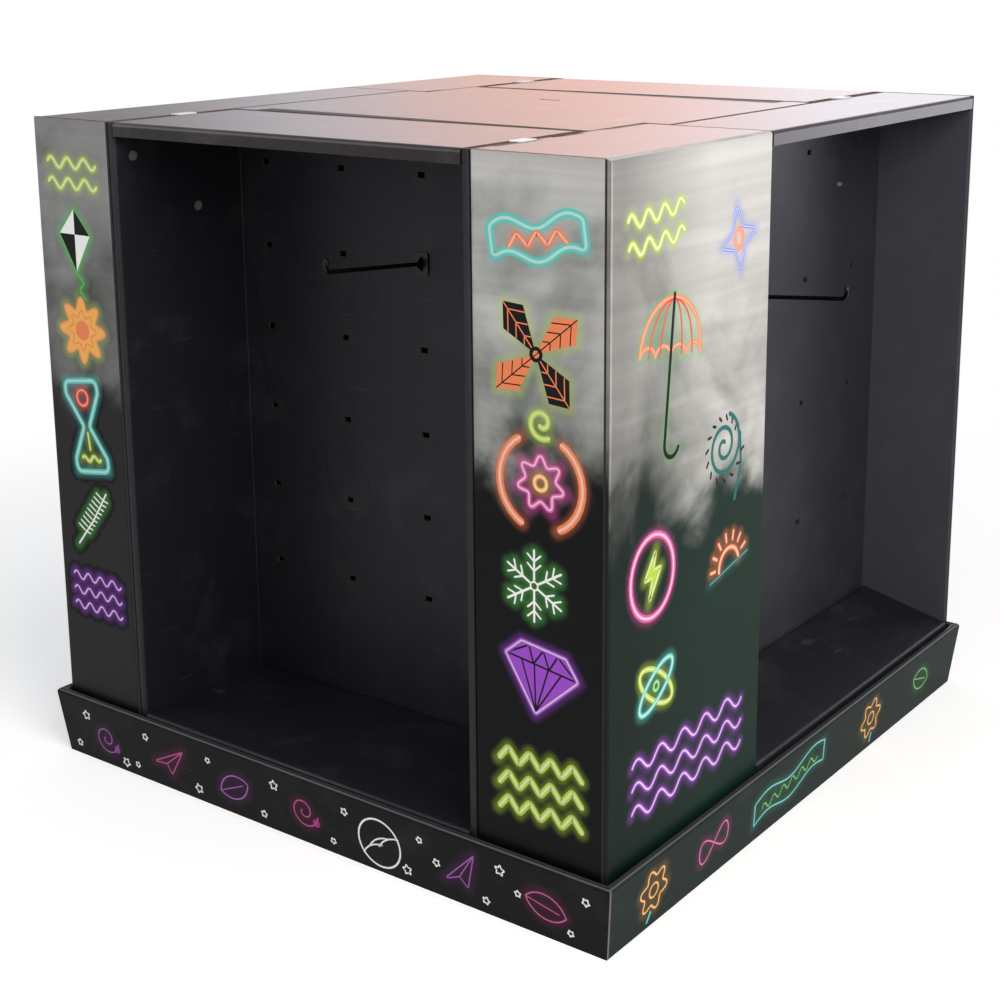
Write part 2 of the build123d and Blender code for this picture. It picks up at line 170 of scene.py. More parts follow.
# %% Surround
soft_light = 0.42
mirror_depth, mirror_levels = (-0.2, 0.4), (0.3, 0.7)
bright_way, bright_cosines, bright_levels = (-0.375, 0.927, 0.0), (0.88, 0.985), (0.6, 3.1)
warm_way, warm_cosines, warm_most = (-0.573, 0.819, 0.0), (0.984, 1.0), 0.9

world = bpy.data.worlds.new("studio")
world.use_nodes = True
tree = world.node_tree
tree.nodes.clear()
rays = add(tree, "ShaderNodeLightPath").outputs
camera_ray = rays["Is Camera Ray"]
mirror = [rays["Is Glossy Ray"], rays["Is Transmission Ray"]]
mirror = add(tree, "ShaderNodeMath", mirror, operation="MAXIMUM")
white = add(tree, "ShaderNodeMath", [camera_ray, mirror], operation="MAXIMUM")
way = add(tree, "ShaderNodeTexCoord").outputs["Generated"]
depth = add(tree, "ShaderNodeSeparateXYZ", [way]).outputs["Y"]
behind = add(tree, "ShaderNodeMapRange", [depth, *mirror_depth, *mirror_levels])
cosine = add(tree, "ShaderNodeVectorMath", [way, bright_way], operation="DOT_PRODUCT").outputs["Value"]
bright_side = add(tree, "ShaderNodeMapRange", [cosine, *bright_cosines, *bright_levels])
mirrored = add(tree, "ShaderNodeMath", [behind, bright_side], operation="MAXIMUM")
strength = add(tree, "ShaderNodeMix", {"Factor": camera_ray, "A": mirrored, "B": 1.0}, data_type="FLOAT")
cosine = add(tree, "ShaderNodeVectorMath", [way, warm_way], operation="DOT_PRODUCT").outputs["Value"]
warm_side = [cosine, *warm_cosines, 0.0, warm_most]
warm_side = add(tree, "ShaderNodeMapRange", warm_side, interpolation_type="SMOOTHSTEP")
warm = add(tree, "ShaderNodeMath", [warm_side, mirror], operation="MULTIPLY")
hue = {"Factor": warm, "A": linear("#f7f1f8"), "B": linear("#ffa067")}
hue = add(tree, "ShaderNodeMix", hue, data_type="RGBA")
hue = add(tree, "ShaderNodeMix", {"Factor": camera_ray, "A": hue, "B": linear("#ffffff")}, data_type="RGBA")
dim = add(tree, "ShaderNodeBackground", {"Color": linear("#f4f6fa"), "Strength": soft_light})
bright = add(tree, "ShaderNodeBackground", {"Color": hue, "Strength": strength})
shown = add(tree, "ShaderNodeMixShader", [white, dim, bright])
add(tree, "ShaderNodeOutputWorld", {"Surface": shown})
bpy.context.scene.world = world
print("world nodes:", len(tree.nodes))

# %% [markdown]
# Three soft boxes light the rack: a large one from the right, a weaker one from the left, and a small one
# from behind on the right, which draws the edges of the end walls. Large lamps are used because small ones
# would leave hard spots in the varnish.

# %% Lamps
def add_lamp(name, place, target, size, watts, colour):
    """Soft rectangular lamp that looks at a target. The camera doesn't see it."""
    lamp = bpy.data.objects.new(name, bpy.data.lights.new(name, "AREA"))
    lamp.data.shape = "RECTANGLE"
    lamp.data.size, lamp.data.size_y = size
    lamp.data.energy = watts
    lamp.data.color = linear(colour)[:3]
    lamp.visible_camera = False
    lamp.location = place
    aim = Vector(target) - Vector(place)
    lamp.rotation_euler = aim.to_track_quat("-Z", "Y").to_euler()
    bpy.context.scene.collection.objects.link(lamp)


add_lamp("key_lamp", (3.0, -1.5, 2.6), (0.3, -0.3, 0.7), size=(2.2, 2.2), watts=120, colour="#fff9f2")
add_lamp("fill_lamp", (-2.8, -2.8, 2.4), (0, 0, 0.5), size=(2.6, 2.6), watts=42, colour="#f2f6ff")
add_lamp("side_lamp", (1.9, 2.9, 0.95), (0.5, 0, 0.8), size=(1.6, 0.9), watts=17, colour="#f4f4ff")

# %% [markdown]
# Corrugated board is two flat liners with a wavy paper between them. The flutes press faintly through the
# liner, which printers call washboarding. C flute has a pitch of 7.8 mm, and that wave runs over every face
# of this rack. The liner itself has fine paper fibre under a thin water-based varnish.

# %% Surface of varnished board
flute_pitch = 7.8 * MM
fibre_grain = 1.4 * MM
washboard_depth = 0.12 * MM


def object_place(tree):
    """Place on the rack in metres, and its three parts."""
    place = add(tree, "ShaderNodeTexCoord").outputs["Object"]
    return place, add(tree, "ShaderNodeSeparateXYZ", [place]).outputs


def facing(tree):
    """How much the face looks to the left or right, to the front or back, and up or down."""
    normal = add(tree, "ShaderNodeTexCoord").outputs["Normal"]
    turned = add(tree, "ShaderNodeVectorMath", [normal], operation="ABSOLUTE")
    return add(tree, "ShaderNodeSeparateXYZ", [turned]).outputs


def across_flutes(tree, place):
    """Distance along the board at right angles to its flutes, on upright and level faces alike."""
    facings = facing(tree)
    where = add(tree, "ShaderNodeSeparateXYZ", [place]).outputs
    ahead = add(tree, "ShaderNodeMath", [facings["Y"], facings["Z"]], operation="MAXIMUM")
    along_x = add(tree, "ShaderNodeMath", [where["X"], ahead], operation="MULTIPLY")
    return add(tree, "ShaderNodeMath", [where["Y"], facings["X"], along_x], operation="MULTIPLY_ADD")


def board_bump(tree, place, strength):
    """Washboard wave with paper fibre on it."""
    along = across_flutes(tree, place)
    turns = add(tree, "ShaderNodeMath", [along, 2 * math.pi / flute_pitch], operation="MULTIPLY")
    ripple = add(tree, "ShaderNodeMath", [turns], operation="SINE")
    fibre = {"Vector": place, "Scale": 1 / fibre_grain, "Detail": 2.0}
    fibre = add(tree, "ShaderNodeTexNoise", fibre).outputs["Fac"]
    height = add(tree, "ShaderNodeMath", [fibre, 0.45, ripple], operation="MULTIPLY_ADD")
    return add(tree, "ShaderNodeBump", {"Height": height, "Strength": strength, "Distance": washboard_depth})


# %% [markdown]
# Many finishes end at a known place on the board, such as a fold or a cut edge. Masks mark those places.
# The rack repeats when it is turned, so a mask looks only at the size of a coordinate and not at its sign.
# Colours are then laid over each other like coats of ink, each where its mask is 1.

# %% Masks and coats
middle, beyond = -1.0, 1.0  # limits in metres for a coordinate that counts from the middle, or to the outside


def inside(tree, where, **limits):
    """1 where the size of each coordinate that is named lies between its two limits, and 0 elsewhere."""
    mask = 1.0
    for axis, (low, high) in limits.items():
        size = add(tree, "ShaderNodeMath", [where[axis.upper()]], operation="ABSOLUTE")
        over = add(tree, "ShaderNodeMath", [size, low], operation="GREATER_THAN")
        under = add(tree, "ShaderNodeMath", [size, high], operation="LESS_THAN")
        fits = add(tree, "ShaderNodeMath", [over, under], operation="MULTIPLY")
        mask = add(tree, "ShaderNodeMath", [mask, fits], operation="MULTIPLY")
    return mask


def facing_side(tree):
    """1 on faces that look to the left or the right, and 0 on the others."""
    return add(tree, "ShaderNodeMath", [facing(tree)["X"], 0.7], operation="GREATER_THAN")


def layered(tree, ground, *coats):
    """The ground with coats over it. A coat is a mask and a colour, which is a hex value or a node."""
    for mask, coat in coats:
        under, over = [linear(colour) if isinstance(colour, str) else colour for colour in (ground, coat)]
        ground = add(tree, "ShaderNodeMix", {"Factor": mask, "A": under, "B": over}, data_type="RGBA")
    return ground


# %% [markdown]
# The cut edge of the board shows the bare paper inside it. It is worked out from the place: what lies
# inside the thickness of a sheet, such as the wall of a peg hole, can only be a cut edge.

# %% Colours of the board
# The black ink carries a faint blue tint, painted as the cool light inside the bays.
black_ink_and_blue_light = "#15151b"
top_ink = "#241d1c"
# Painted shadow: the unvarnished black laid in the gaps along the seams of the tops.
painted_shadow_ink = "#15110f"
kraft_liner = "#8a7355"
kraft_in_shade = "#4c3f30"
dust_grey = "#77767a"
board_dust = 0.10
scratches = (14.0, 14.0, 300.0)  # lines in a metre, so a scratch is 70 mm long and 3 mm wide


def hole_edges(tree, where):
    """Mask of the cut edges inside the holes of the peg panels."""
    depths = [(panel - board + skin, panel - skin) for panel in (front_panel, side_panel)]
    front_hole = inside(tree, where, y=depths[0], x=(middle, side_panel - 2 * board))
    side_hole = inside(tree, where, x=depths[1], y=(middle, half_depth - 3 * board))
    return add(tree, "ShaderNodeMath", [front_hole, side_hole], operation="MAXIMUM")


def upper_end(tree, where):
    """Mask of what lies level with the top of the rack."""
    return inside(tree, where, z=(top_z - skin, top_z + skin))


def worn(tree, place, colour, amount):
    """The colour with faint dust, rub marks and a few fine level scratches on it."""
    marks = {"Vector": place, "Scale": 9.0, "Detail": 6.0, "Roughness": 0.68}
    marks = add(tree, "ShaderNodeTexNoise", marks).outputs["Fac"]
    spread = add(tree, "ShaderNodeMapRange", [marks, 0.52, 0.8, 0.0, amount])
    drawn = add(tree, "ShaderNodeVectorMath", [place, scratches], operation="MULTIPLY")
    lines = {"Vector": drawn, "Scale": 1.0, "Detail": 1.0, "Distortion": 0.4}
    lines = add(tree, "ShaderNodeTexNoise", lines).outputs["Fac"]
    fine = add(tree, "ShaderNodeMapRange", [lines, 0.72, 0.78, 0.0, amount])
    dusty = add(tree, "ShaderNodeMath", [spread, fine], operation="ADD")
    return layered(tree, colour, (dusty, dust_grey))


def finish_board(tree, colour, bump, roughness=0.45, gloss=0.12, varnish=0.07, varnish_roughness=0.2):
    """Board with its ink under a coat of varnish. As it stands, it is the satin of the printed faces."""
    settings = {
        "Base Color": colour,
        "Roughness": roughness,
        "Specular IOR Level": gloss,
        "Normal": bump,
        "Coat Weight": varnish,
        "Coat Roughness": varnish_roughness,
    }
    shader = add(tree, "ShaderNodeBsdfPrincipled", settings)
    add(tree, "ShaderNodeOutputMaterial", {"Surface": shader})


def give(material, *names):
    """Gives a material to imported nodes."""
    for name in names:
        nodes[name].data.materials[0] = material
    print(material.name + ":", ", ".join(names))


# %% [markdown]
# Inside the bays the liner is printed solid black and has a satin varnish. It isn't an even black: dust and
# the rubbing of goods leave pale marks on it. Two noises make them, a cloudy one and one that is drawn out
# level.

# %% Black board inside the bays
def make_black_board():
    """Flexo-printed black liner with a satin varnish: it is dark, with a soft sheen and faint flutes."""
    material, tree = new_material("satin_black_corrugated_board")
    place, where = object_place(tree)
    colour = layered(
        tree,
        worn(tree, place, black_ink_and_blue_light, board_dust),
        (hole_edges(tree, where), kraft_in_shade),
        (upper_end(tree, where), kraft_liner),
    )
    bump = board_bump(tree, place, 0.35)
    finish_board(tree, colour, bump, roughness=0.5, gloss=0.35, varnish=0.12, varnish_roughness=0.35)
    return material


black_board = make_black_board()
give(black_board, "front_bay_wall", "back_bay_wall", "core_divider_along", "core_divider_across")
give(black_board, "front_floor", "back_floor", "right_floor", "left_floor")

# %% [markdown]
# The tops are the same board with a thick gloss varnish. Seen at a low angle, varnish mirrors what stands
# behind it, which makes the black tops look pale in the picture, and warm where the surround is warm. Along
# the seams, black strips without varnish are painted as the shadow in the gaps beside the lids.

# %% Glossy tops
top_varnish = 0.5
top_dust = 0.22
# The painted shadow in the seams: a wedge along the lid's edge, and dashes along a column's seam.
wedge_ends, wedge_widths = (-0.30, 0.34), (6 * MM, 40 * MM)  # the wedge grows along the lid
dashes_per_metre = 17.0
dash_width = 14 * MM


def painted_seam_shadows(tree, place, where):
    """Mask of the painted shadow in the seams: a wedge along the lid's edge, and dashes along a column's
    seam.
    """
    reach = add(tree, "ShaderNodeMath", [where["Y"]], operation="ABSOLUTE")
    side = add(tree, "ShaderNodeMath", [where["Y"]], operation="SIGN")
    along = add(tree, "ShaderNodeMath", [where["X"], side], operation="MULTIPLY")
    wide = add(tree, "ShaderNodeMapRange", [along, *wedge_ends, *wedge_widths])
    inner = add(tree, "ShaderNodeMath", [cap_edge, wide], operation="SUBTRACT")
    wedge = add(tree, "ShaderNodeMath", [reach, inner], operation="GREATER_THAN")
    on_lid = inside(tree, where, x=(middle, column_back - 2 * MM), y=(0.0, cap_edge + 2 * MM))
    wedge = add(tree, "ShaderNodeMath", [wedge, on_lid], operation="MULTIPLY")
    dash = {"Vector": place, "Scale": dashes_per_metre, "Detail": 1.0}
    dash = add(tree, "ShaderNodeTexNoise", dash).outputs["Fac"]
    dash = add(tree, "ShaderNodeMath", [dash, 0.52], operation="GREATER_THAN")
    seam = inside(tree, where, x=(column_back, column_back + dash_width), y=(-column_side, beyond))
    at_column = add(tree, "ShaderNodeMath", [along, 0.0], operation="LESS_THAN")
    seam = add(tree, "ShaderNodeMath", [seam, at_column], operation="MULTIPLY")
    dash = add(tree, "ShaderNodeMath", [dash, seam], operation="MULTIPLY")
    return add(tree, "ShaderNodeMath", [wedge, dash], operation="MAXIMUM")


def make_glossy_top():
    """Gloss varnish over black ink: clear reflections at a low angle, deep black from above."""
    material, tree = new_material("gloss_varnished_black_board")
    place, where = object_place(tree)
    painted_gap_shadow = painted_seam_shadows(tree, place, where)
    colour = layered(tree, worn(tree, place, top_ink, top_dust), (painted_gap_shadow, painted_shadow_ink))
    varnish = add(tree, "ShaderNodeMapRange", {"Value": painted_gap_shadow, "To Min": top_varnish, "To Max": 0.0})
    finish_board(tree, colour, board_bump(tree, place, 0.10), roughness=0.5, gloss=0.2, varnish=varnish)
    return material


give(make_glossy_top(), "front_top", "back_top", "right_top", "left_top", "core_cap")

# %% [markdown]
# The closed columns and the outer faces of the end walls carry a four-colour print: pale smoke that billows
# over black. A broad noise first pushes the places about, and a finer one is read there, which gives the
# round plumes. The height on the rack decides how much of it shows. The wide faces have a green cast low
# down. On them the smoke is painted lighter as painted light, and darker towards the upright fold as
# painted shade. The end walls are darker, partly as painted shade and partly as print.

# %% Smoke print
smoke_borders = (0.62, 0.56)  # heights in metres where the smoke ends, on the front and on the side faces
smoke_spread = 0.30  # metres by which a plume may reach higher than its neighbour
border_softness = (0.045, 0.055)  # metres below and above the border in which the smoke fades
fade_heights = (0.10, 0.55)  # metres above the border between which it goes from dark to light
smoke_light = "#bdbcb9"
smoke_middle = "#6f736d"
smoke_dark = "#080809"
smoke_green = "#08241b"
plume_size = 0.13
push_size = 0.22
streak = (2.0, 2.0, 46.0)  # lines in a metre, so a streak is 22 mm high and half a metre long
# Painted light and shade: the smoke is lighter on the side faces and darker towards their upright fold.
side_painted_light = 0.32  # how much lighter the smoke is on the side faces
fold_places, fold_shades = (0.30, 0.50), (1.1, 0.5)  # from the middle of a side face to its fold
# The end walls are darker, partly as painted shade and partly as print.
wall_shade = 0.5  # how much darker the end walls are


def smoke_colour(tree, place, where):
    """Colour of the print at a place on one of the outer faces."""
    side = facing_side(tree)
    push = add(tree, "ShaderNodeTexNoise", {"Vector": place, "Scale": 3.2, "Detail": 2.0}).outputs["Color"]
    pushed = add(tree, "ShaderNodeVectorMath", [push, (push_size,) * 3, place], operation="MULTIPLY_ADD")
    plume = {"Vector": pushed, "Scale": 1 / plume_size, "Detail": 5.0, "Roughness": 0.5}
    plume = add(tree, "ShaderNodeTexNoise", plume).outputs["Fac"]
    border = add(tree, "ShaderNodeMapRange", [side, 0.0, 1.0, *smoke_borders])
    over = add(tree, "ShaderNodeMath", [where["Z"], border], operation="SUBTRACT")
    level = add(tree, "ShaderNodeMath", [plume, smoke_spread, over], operation="MULTIPLY_ADD")
    first, last = smoke_spread / 2 - border_softness[0], smoke_spread / 2 + border_softness[1]
    low = add(tree, "ShaderNodeMapRange", [level, first, last], interpolation_type="SMOOTHSTEP")
    high = add(tree, "ShaderNodeMapRange", [level, *fade_heights])
    drift = add(tree, "ShaderNodeMapRange", [plume, 0.3, 0.62, -0.35, 0.3])
    light = add(tree, "ShaderNodeMath", [high, drift], operation="ADD")
    # The side faces are painted lighter, as painted light.
    light = add(tree, "ShaderNodeMath", [side, side_painted_light, light], operation="MULTIPLY_ADD", use_clamp=True)
    foot = layered(tree, smoke_dark, (side, smoke_green))
    smoke = layered(tree, smoke_middle, (light, smoke_light))
    colour = layered(tree, foot, (low, smoke))
    return shaded(tree, place, where, side, colour)


def shaded(tree, place, where, side, colour):
    """The colour with level streaks, painted shade near a side face's upright fold, and end walls darker by
    painted shade and print.
    """
    drawn = add(tree, "ShaderNodeVectorMath", [place, streak], operation="MULTIPLY")
    lines = {"Vector": drawn, "Scale": 1.0, "Detail": 3.0, "Distortion": 0.3}
    lines = add(tree, "ShaderNodeTexNoise", lines).outputs["Fac"]
    shade = add(tree, "ShaderNodeMapRange", [lines, 0.3, 0.7, 0.84, 1.08])
    # Painted shade towards the upright fold of a side face.
    reach = add(tree, "ShaderNodeMath", [where["Y"]], operation="ABSOLUTE")
    near_fold = add(tree, "ShaderNodeMapRange", [reach, *fold_places, *fold_shades])
    even = add(tree, "ShaderNodeMix", {"Factor": side, "A": 1.0, "B": near_fold}, data_type="FLOAT")
    shade = add(tree, "ShaderNodeMath", [shade, even], operation="MULTIPLY")
    # The end walls are darker: painted shade, and some print variation.
    on_wall = add(tree, "ShaderNodeMath", [where["X"], where["Y"]], operation="MULTIPLY")
    on_wall = add(tree, "ShaderNodeMath", [on_wall, 0.0], operation="GREATER_THAN")
    on_wall = add(tree, "ShaderNodeMapRange", [on_wall, 0.0, 1.0, 1.0, wall_shade])
    shade = add(tree, "ShaderNodeMath", [shade, on_wall], operation="MULTIPLY")
    return add(tree, "ShaderNodeVectorMath", {0: colour, "Scale": shade}, operation="SCALE")


# %% [markdown]
# A column is one sheet that is folded round four corners, and its top is folded over from the side. The
# upright fold has a pale painted highlight on it and a dark line of painted shade beside it, and below the
# top its rounding is darkened as painted shade. The column's own top has the gloss of the other tops, and
# at its rim the raw ends of the walls show.

# %% Printed columns
# The dark line beside the fold is painted shade.
fold_line = (7.5 * MM, 4.5 * MM)  # how far from the fold the dark line beside it starts and ends
printed_bump = 0.12


def painted_fold_lines(tree, where, colour):
    """The colour with a dark line of painted shade beside the upright fold of a column, and a painted
    highlight on it.
    """
    from_fold = (half_width - fold_line[0], half_width - fold_line[1])
    beside = inside(tree, where, x=from_fold, y=(half_depth - 0.6 * MM, beyond))
    colour = layered(tree, colour, (beside, "#2b2826"))
    on_fold = (half_depth - 5.5 * MM, half_depth - 1.5 * MM)
    on_fold = inside(tree, where, x=(half_width - 1.2 * MM, beyond), y=on_fold)
    # Painted highlight: the fold itself is painted half again lighter.
    painted_highlight = add(tree, "ShaderNodeVectorMath", {0: colour, "Scale": 1.5}, operation="SCALE")
    return layered(tree, colour, (on_fold, painted_highlight))


def column_ends(tree, where, upper):
    """Mask of the raw upper ends of a column's walls, which show at the rim of its top."""
    front_end = inside(tree, where, y=(half_depth - board, beyond))
    far_end = inside(tree, where, y=(0.0, -column_side + board))
    back_end = inside(tree, where, x=(0.0, column_back + board))
    ends = add(tree, "ShaderNodeMath", [far_end, back_end], operation="MAXIMUM")
    ends = add(tree, "ShaderNodeMath", [front_end, ends], operation="MAXIMUM")
    return add(tree, "ShaderNodeMath", [ends, upper], operation="MULTIPLY")


def make_printed_column():
    """Litho-printed liner: satin print on the outer faces, gloss on the top, raw board at the upper ends."""
    material, tree = new_material("litho_printed_column_board")
    place, where = object_place(tree)
    upper = upper_end(tree, where)
    side_face = inside(tree, where, x=(half_width - 8.5 * MM, beyond))
    end_face = inside(tree, where, y=(half_depth - 5.5 * MM, beyond))
    outer = add(tree, "ShaderNodeMath", [side_face, end_face], operation="MAXIMUM")
    # Painted shadow in the seam along the column's top.
    painted_gap_shadow = add(tree, "ShaderNodeMath", [upper, painted_seam_shadows(tree, place, where)], operation="MULTIPLY")
    # Painted shade: below the top, the rounding of the upright fold is darkened.
    fold = inside(tree, where, x=(half_width - 5 * MM, beyond), y=(half_depth - 2.4 * MM, beyond))
    below = add(tree, "ShaderNodeMapRange", {"Value": upper, "To Min": 0.6, "To Max": 0.0})
    colour = layered(
        tree,
        worn(tree, place, black_ink_and_blue_light, board_dust),
        (outer, painted_fold_lines(tree, where, smoke_colour(tree, place, where))),
        (upper, worn(tree, place, top_ink, top_dust)),
        (column_ends(tree, where, upper), kraft_liner),
        (painted_gap_shadow, painted_shadow_ink),
        (add(tree, "ShaderNodeMath", [fold, below], operation="MULTIPLY"), "#1c1b1a"),
    )
    gloss = add(tree, "ShaderNodeMath", [upper, painted_gap_shadow], operation="SUBTRACT")
    varnish = add(tree, "ShaderNodeMapRange", {"Value": gloss, "To Min": 0.07, "To Max": top_varnish})
    finish_board(tree, colour, board_bump(tree, place, printed_bump), varnish=varnish)
    return material


give(make_printed_column(), "right_column", "left_column")

# %% [markdown]
# The wall of a side bay is one sheet too: a peg panel and an end wall with a hem. Only the outer face of
# the end wall is printed. Inside the bay the black is painted lighter as painted light, and the inner face
# of the end wall paler still, as painted light from the open side.

# %% Printed bay walls
# Painted light: the black inside the side bays, and paler still the inner face of the end wall.
painted_light_black_ink = "#25272c"
painted_light_end_ink = "#41424a"


def make_printed_wall():
    """Litho-printed liner on the outer face of the end wall, and worn satin black inside the bay, painted
    lighter as painted light.
    """
    material, tree = new_material("litho_printed_bay_wall")
    place, where = object_place(tree)
    inner_end = inside(tree, where, y=(half_depth - 9.5 * MM, half_depth - 7.5 * MM))
    hem = inside(tree, where, x=(half_width - 4.5 * MM, beyond))
    end_face = inside(tree, where, y=(half_depth - 0.5 * MM, beyond))
    outer = add(tree, "ShaderNodeMath", [hem, end_face], operation="MAXIMUM")
    end_wall = inside(tree, where, y=(half_depth - 5.0 * MM, beyond))
    printed_face = add(tree, "ShaderNodeMath", [outer, end_wall], operation="MULTIPLY")
    colour = layered(
        tree,
        worn(tree, place, layered(tree, painted_light_black_ink, (inner_end, painted_light_end_ink)), board_dust),
        (printed_face, smoke_colour(tree, place, where)),
        (hole_edges(tree, where), kraft_in_shade),
        (upper_end(tree, where), kraft_liner),
    )
    finish_board(tree, colour, board_bump(tree, place, 0.3), gloss=0.25, varnish=0.14, varnish_roughness=0.26)
    return material


give(make_printed_wall(), "right_bay_wall", "left_bay_wall")

# %% [markdown]
# The skirt is printed black and leans outwards to its foot. Its rolled rim has a painted highlight along its
# outer fold and a painted sheen on its top, and two of its four corners are open, where the end of a sheet
# shows as a grey raw edge.

# %% Skirt
flare = 12 * MM
skirt_lean = flare / rim_z
skirt_front_ink, skirt_side_ink = "#0b0b0d", "#081d18"
skirt_varnish = 0.06


def skirt_colour(tree, place, where):
    """Black print with a green cast on the long sides, a grey raw edge at two corners, and painted highlight
    and sheen on the rim.
    """
    side = facing_side(tree)
    ink = worn(tree, place, layered(tree, skirt_front_ink, (side, skirt_side_ink)), 0.08)
    reach = add(tree, "ShaderNodeMath", [where["Y"]], operation="ABSOLUTE")
    reach = add(tree, "ShaderNodeMath", [where["Z"], -skirt_lean, reach], operation="MULTIPLY_ADD")
    at_corner = add(tree, "ShaderNodeMath", [reach, half_depth + 0.3 * MM], operation="GREATER_THAN")
    across = add(tree, "ShaderNodeMath", [where["X"], where["Y"]], operation="MULTIPLY")
    open_corner = add(tree, "ShaderNodeMath", [across, 0.0], operation="LESS_THAN")
    raw = add(tree, "ShaderNodeMath", [at_corner, open_corner], operation="MULTIPLY")
    # Painted highlight: a pale band along the rim's outer fold.
    fold = inside(tree, where, z=(rim_z - 2.6 * MM, rim_z - 0.8 * MM))
    return layered(
        tree,
        ink,
        (add(tree, "ShaderNodeMath", [raw, side], operation="MULTIPLY"), "#6f6c68"),
        (add(tree, "ShaderNodeMath", [fold, 0.3], operation="MULTIPLY"), "#85848a"),
        # Painted sheen: the flat top of the rim is painted grey.
        (inside(tree, where, z=(rim_z - skin, rim_z + skin)), "#38373a"),
    )


def make_skirt_board():
    """Litho-printed liner with a satin varnish, nearly black."""
    material, tree = new_material("litho_printed_skirt_board")
    place, where = object_place(tree)
    bump = board_bump(tree, place, printed_bump)
    finish_board(tree, skirt_colour(tree, place, where), bump, varnish=skirt_varnish)
    return material


give(make_skirt_board(), "skirt_front_left", "skirt_back_right")

# %% [markdown]
# The pallet is rough-sawn softwood. Its grain is long noise, drawn out along each board, with a little
# darkening where the saw left it rough.

# %% Pallet wood
streaks_along, streaks_across = 6.0, 160.0  # grain lines in a metre, about 6 mm apart


def make_pallet_wood(name, along):
    """Rough-sawn pine: pale brown with long dark grain, dull."""
    material, tree = new_material(name)
    place, _ = object_place(tree)
    stretch = tuple(streaks_along if axis == along else streaks_across for axis in range(3))
    drawn = add(tree, "ShaderNodeVectorMath", [place, stretch], operation="MULTIPLY")
    grain = {"Vector": drawn, "Scale": 1.0, "Detail": 5.0, "Distortion": 0.6}
    grain = add(tree, "ShaderNodeTexNoise", grain).outputs["Fac"]
    share = add(tree, "ShaderNodeMapRange", [grain, 0.35, 0.7])
    colour = layered(tree, "#b08a5c", (share, "#7d5b38"))
    bump = add(tree, "ShaderNodeBump", {"Height": grain, "Strength": 0.5, "Distance": 0.4 * MM})
    shader = add(tree, "ShaderNodeBsdfPrincipled", {"Base Color": colour, "Roughness": 0.8, "Normal": bump})
    add(tree, "ShaderNodeOutputMaterial", {"Surface": shader})
    return material


stringers = [name for name in nodes if name.startswith("pallet_stringer")]
give(make_pallet_wood("sawn_pine_stringer", 0), *stringers)
pallet_boards = [name for name in nodes if name.startswith("pallet_") and name not in stringers]
give(make_pallet_wood("sawn_pine_board", 1), *pallet_boards)

# %% [markdown]
# The small fittings are injection-moulded: black polystyrene hooks, rivets of natural polyethylene, which
# lets some light in, and white polypropylene clips. A fine texture from the mould breaks up their
# highlights.

# %% Plastics
def make_plastic(name, colour, roughness, grain, clear):
    """Moulded plastic: even colour, fine mould texture, soft highlights. Clear is the light it lets in."""
    material, tree = new_material(name)
    place, _ = object_place(tree)
    texture = {"Vector": place, "Scale": 1 / grain, "Detail": 2.0}
    texture = add(tree, "ShaderNodeTexNoise", texture).outputs["Fac"]
    bump = add(tree, "ShaderNodeBump", {"Height": texture, "Strength": 0.2, "Distance": 0.05 * MM})
    tone = add(tree, "ShaderNodeMapRange", {"Value": texture, "To Min": 0.9, "To Max": 1.08})
    colour = add(tree, "ShaderNodeVectorMath", {0: linear(colour)[:3], "Scale": tone}, operation="SCALE")
    settings = {"Base Color": colour, "Roughness": roughness, "Normal": bump, "Transmission Weight": clear}
    shader = add(tree, "ShaderNodeBsdfPrincipled", settings)
    add(tree, "ShaderNodeOutputMaterial", {"Surface": shader})
    return material


hook_plastic = make_plastic("black_moulded_polystyrene", "#0b0b0c", 0.28, grain=0.8 * MM, clear=0.0)
rivet_plastic = make_plastic("natural_polyethylene", "#7d7d82", 0.35, grain=0.6 * MM, clear=0.35)
clip_plastic = make_plastic("white_moulded_polypropylene", "#f0f0ee", 0.4, grain=0.6 * MM, clear=0.0)
give(hook_plastic, "front_peg_hook", "right_peg_hook")
give(rivet_plastic, "front_rivets", "back_rivets")
give(clip_plastic, "seam_clips")

# %% [markdown]
# Neon figures are printed over the smoke. Each figure is a few strokes: a line of points in millimetres
# with an ink, a line width and a light core, as a glass tube has. Pictures could be drawn on the board by a
# texture, but lines that are laid as thin meshes stay sharp from near by.

# %% Inks and strokes
cyan = "#5cc6bd"
blue = "#6c86dc"
orange = "#ec8558"
amber = "#f5b25a"
pink = "#d456a2"
purple = "#9a4cc4"
plum = "#8a3a92"
magenta = "#a8327a"
lime = "#b2cf46"
green = "#5cb85a"
white = "#f2f2ee"
red = "#e0503c"
coal = "#141212"
teal = "#1f6a66"


def stroke(points, ink, width=8.0, closed=False, core=0.6, corner=2.0):
    """A printed line. The core is how light its middle is, and the corner is its rounding in millimetres."""
    look = {"ink": ink, "glow": ink if core > 0 else None, "core": core}
    return {"points": points, "width": width, "closed": closed, "corner": corner, **look}


def thin(points, ink, width, closed=False, corner=2.0):
    """A printed line without a light core. No glow comes from it."""
    return stroke(points, ink, width, closed, 0, corner)


def patch(points, ink):
    """A printed field of one ink, inside a closed line."""
    return {"points": points, "ink": ink, "width": 0, "closed": True, "glow": None}


# %% [markdown]
# The figures are plain signs and ornaments. Their points come from the formulas of arcs, spirals, stars,
# waves and rosettes, and a figure can be turned, sized and set at a place on its face.

# %% Lines made by formulas
def polar(radius, angle):
    """Point at a distance and an angle in radians from the middle."""
    return radius * math.cos(angle), radius * math.sin(angle)


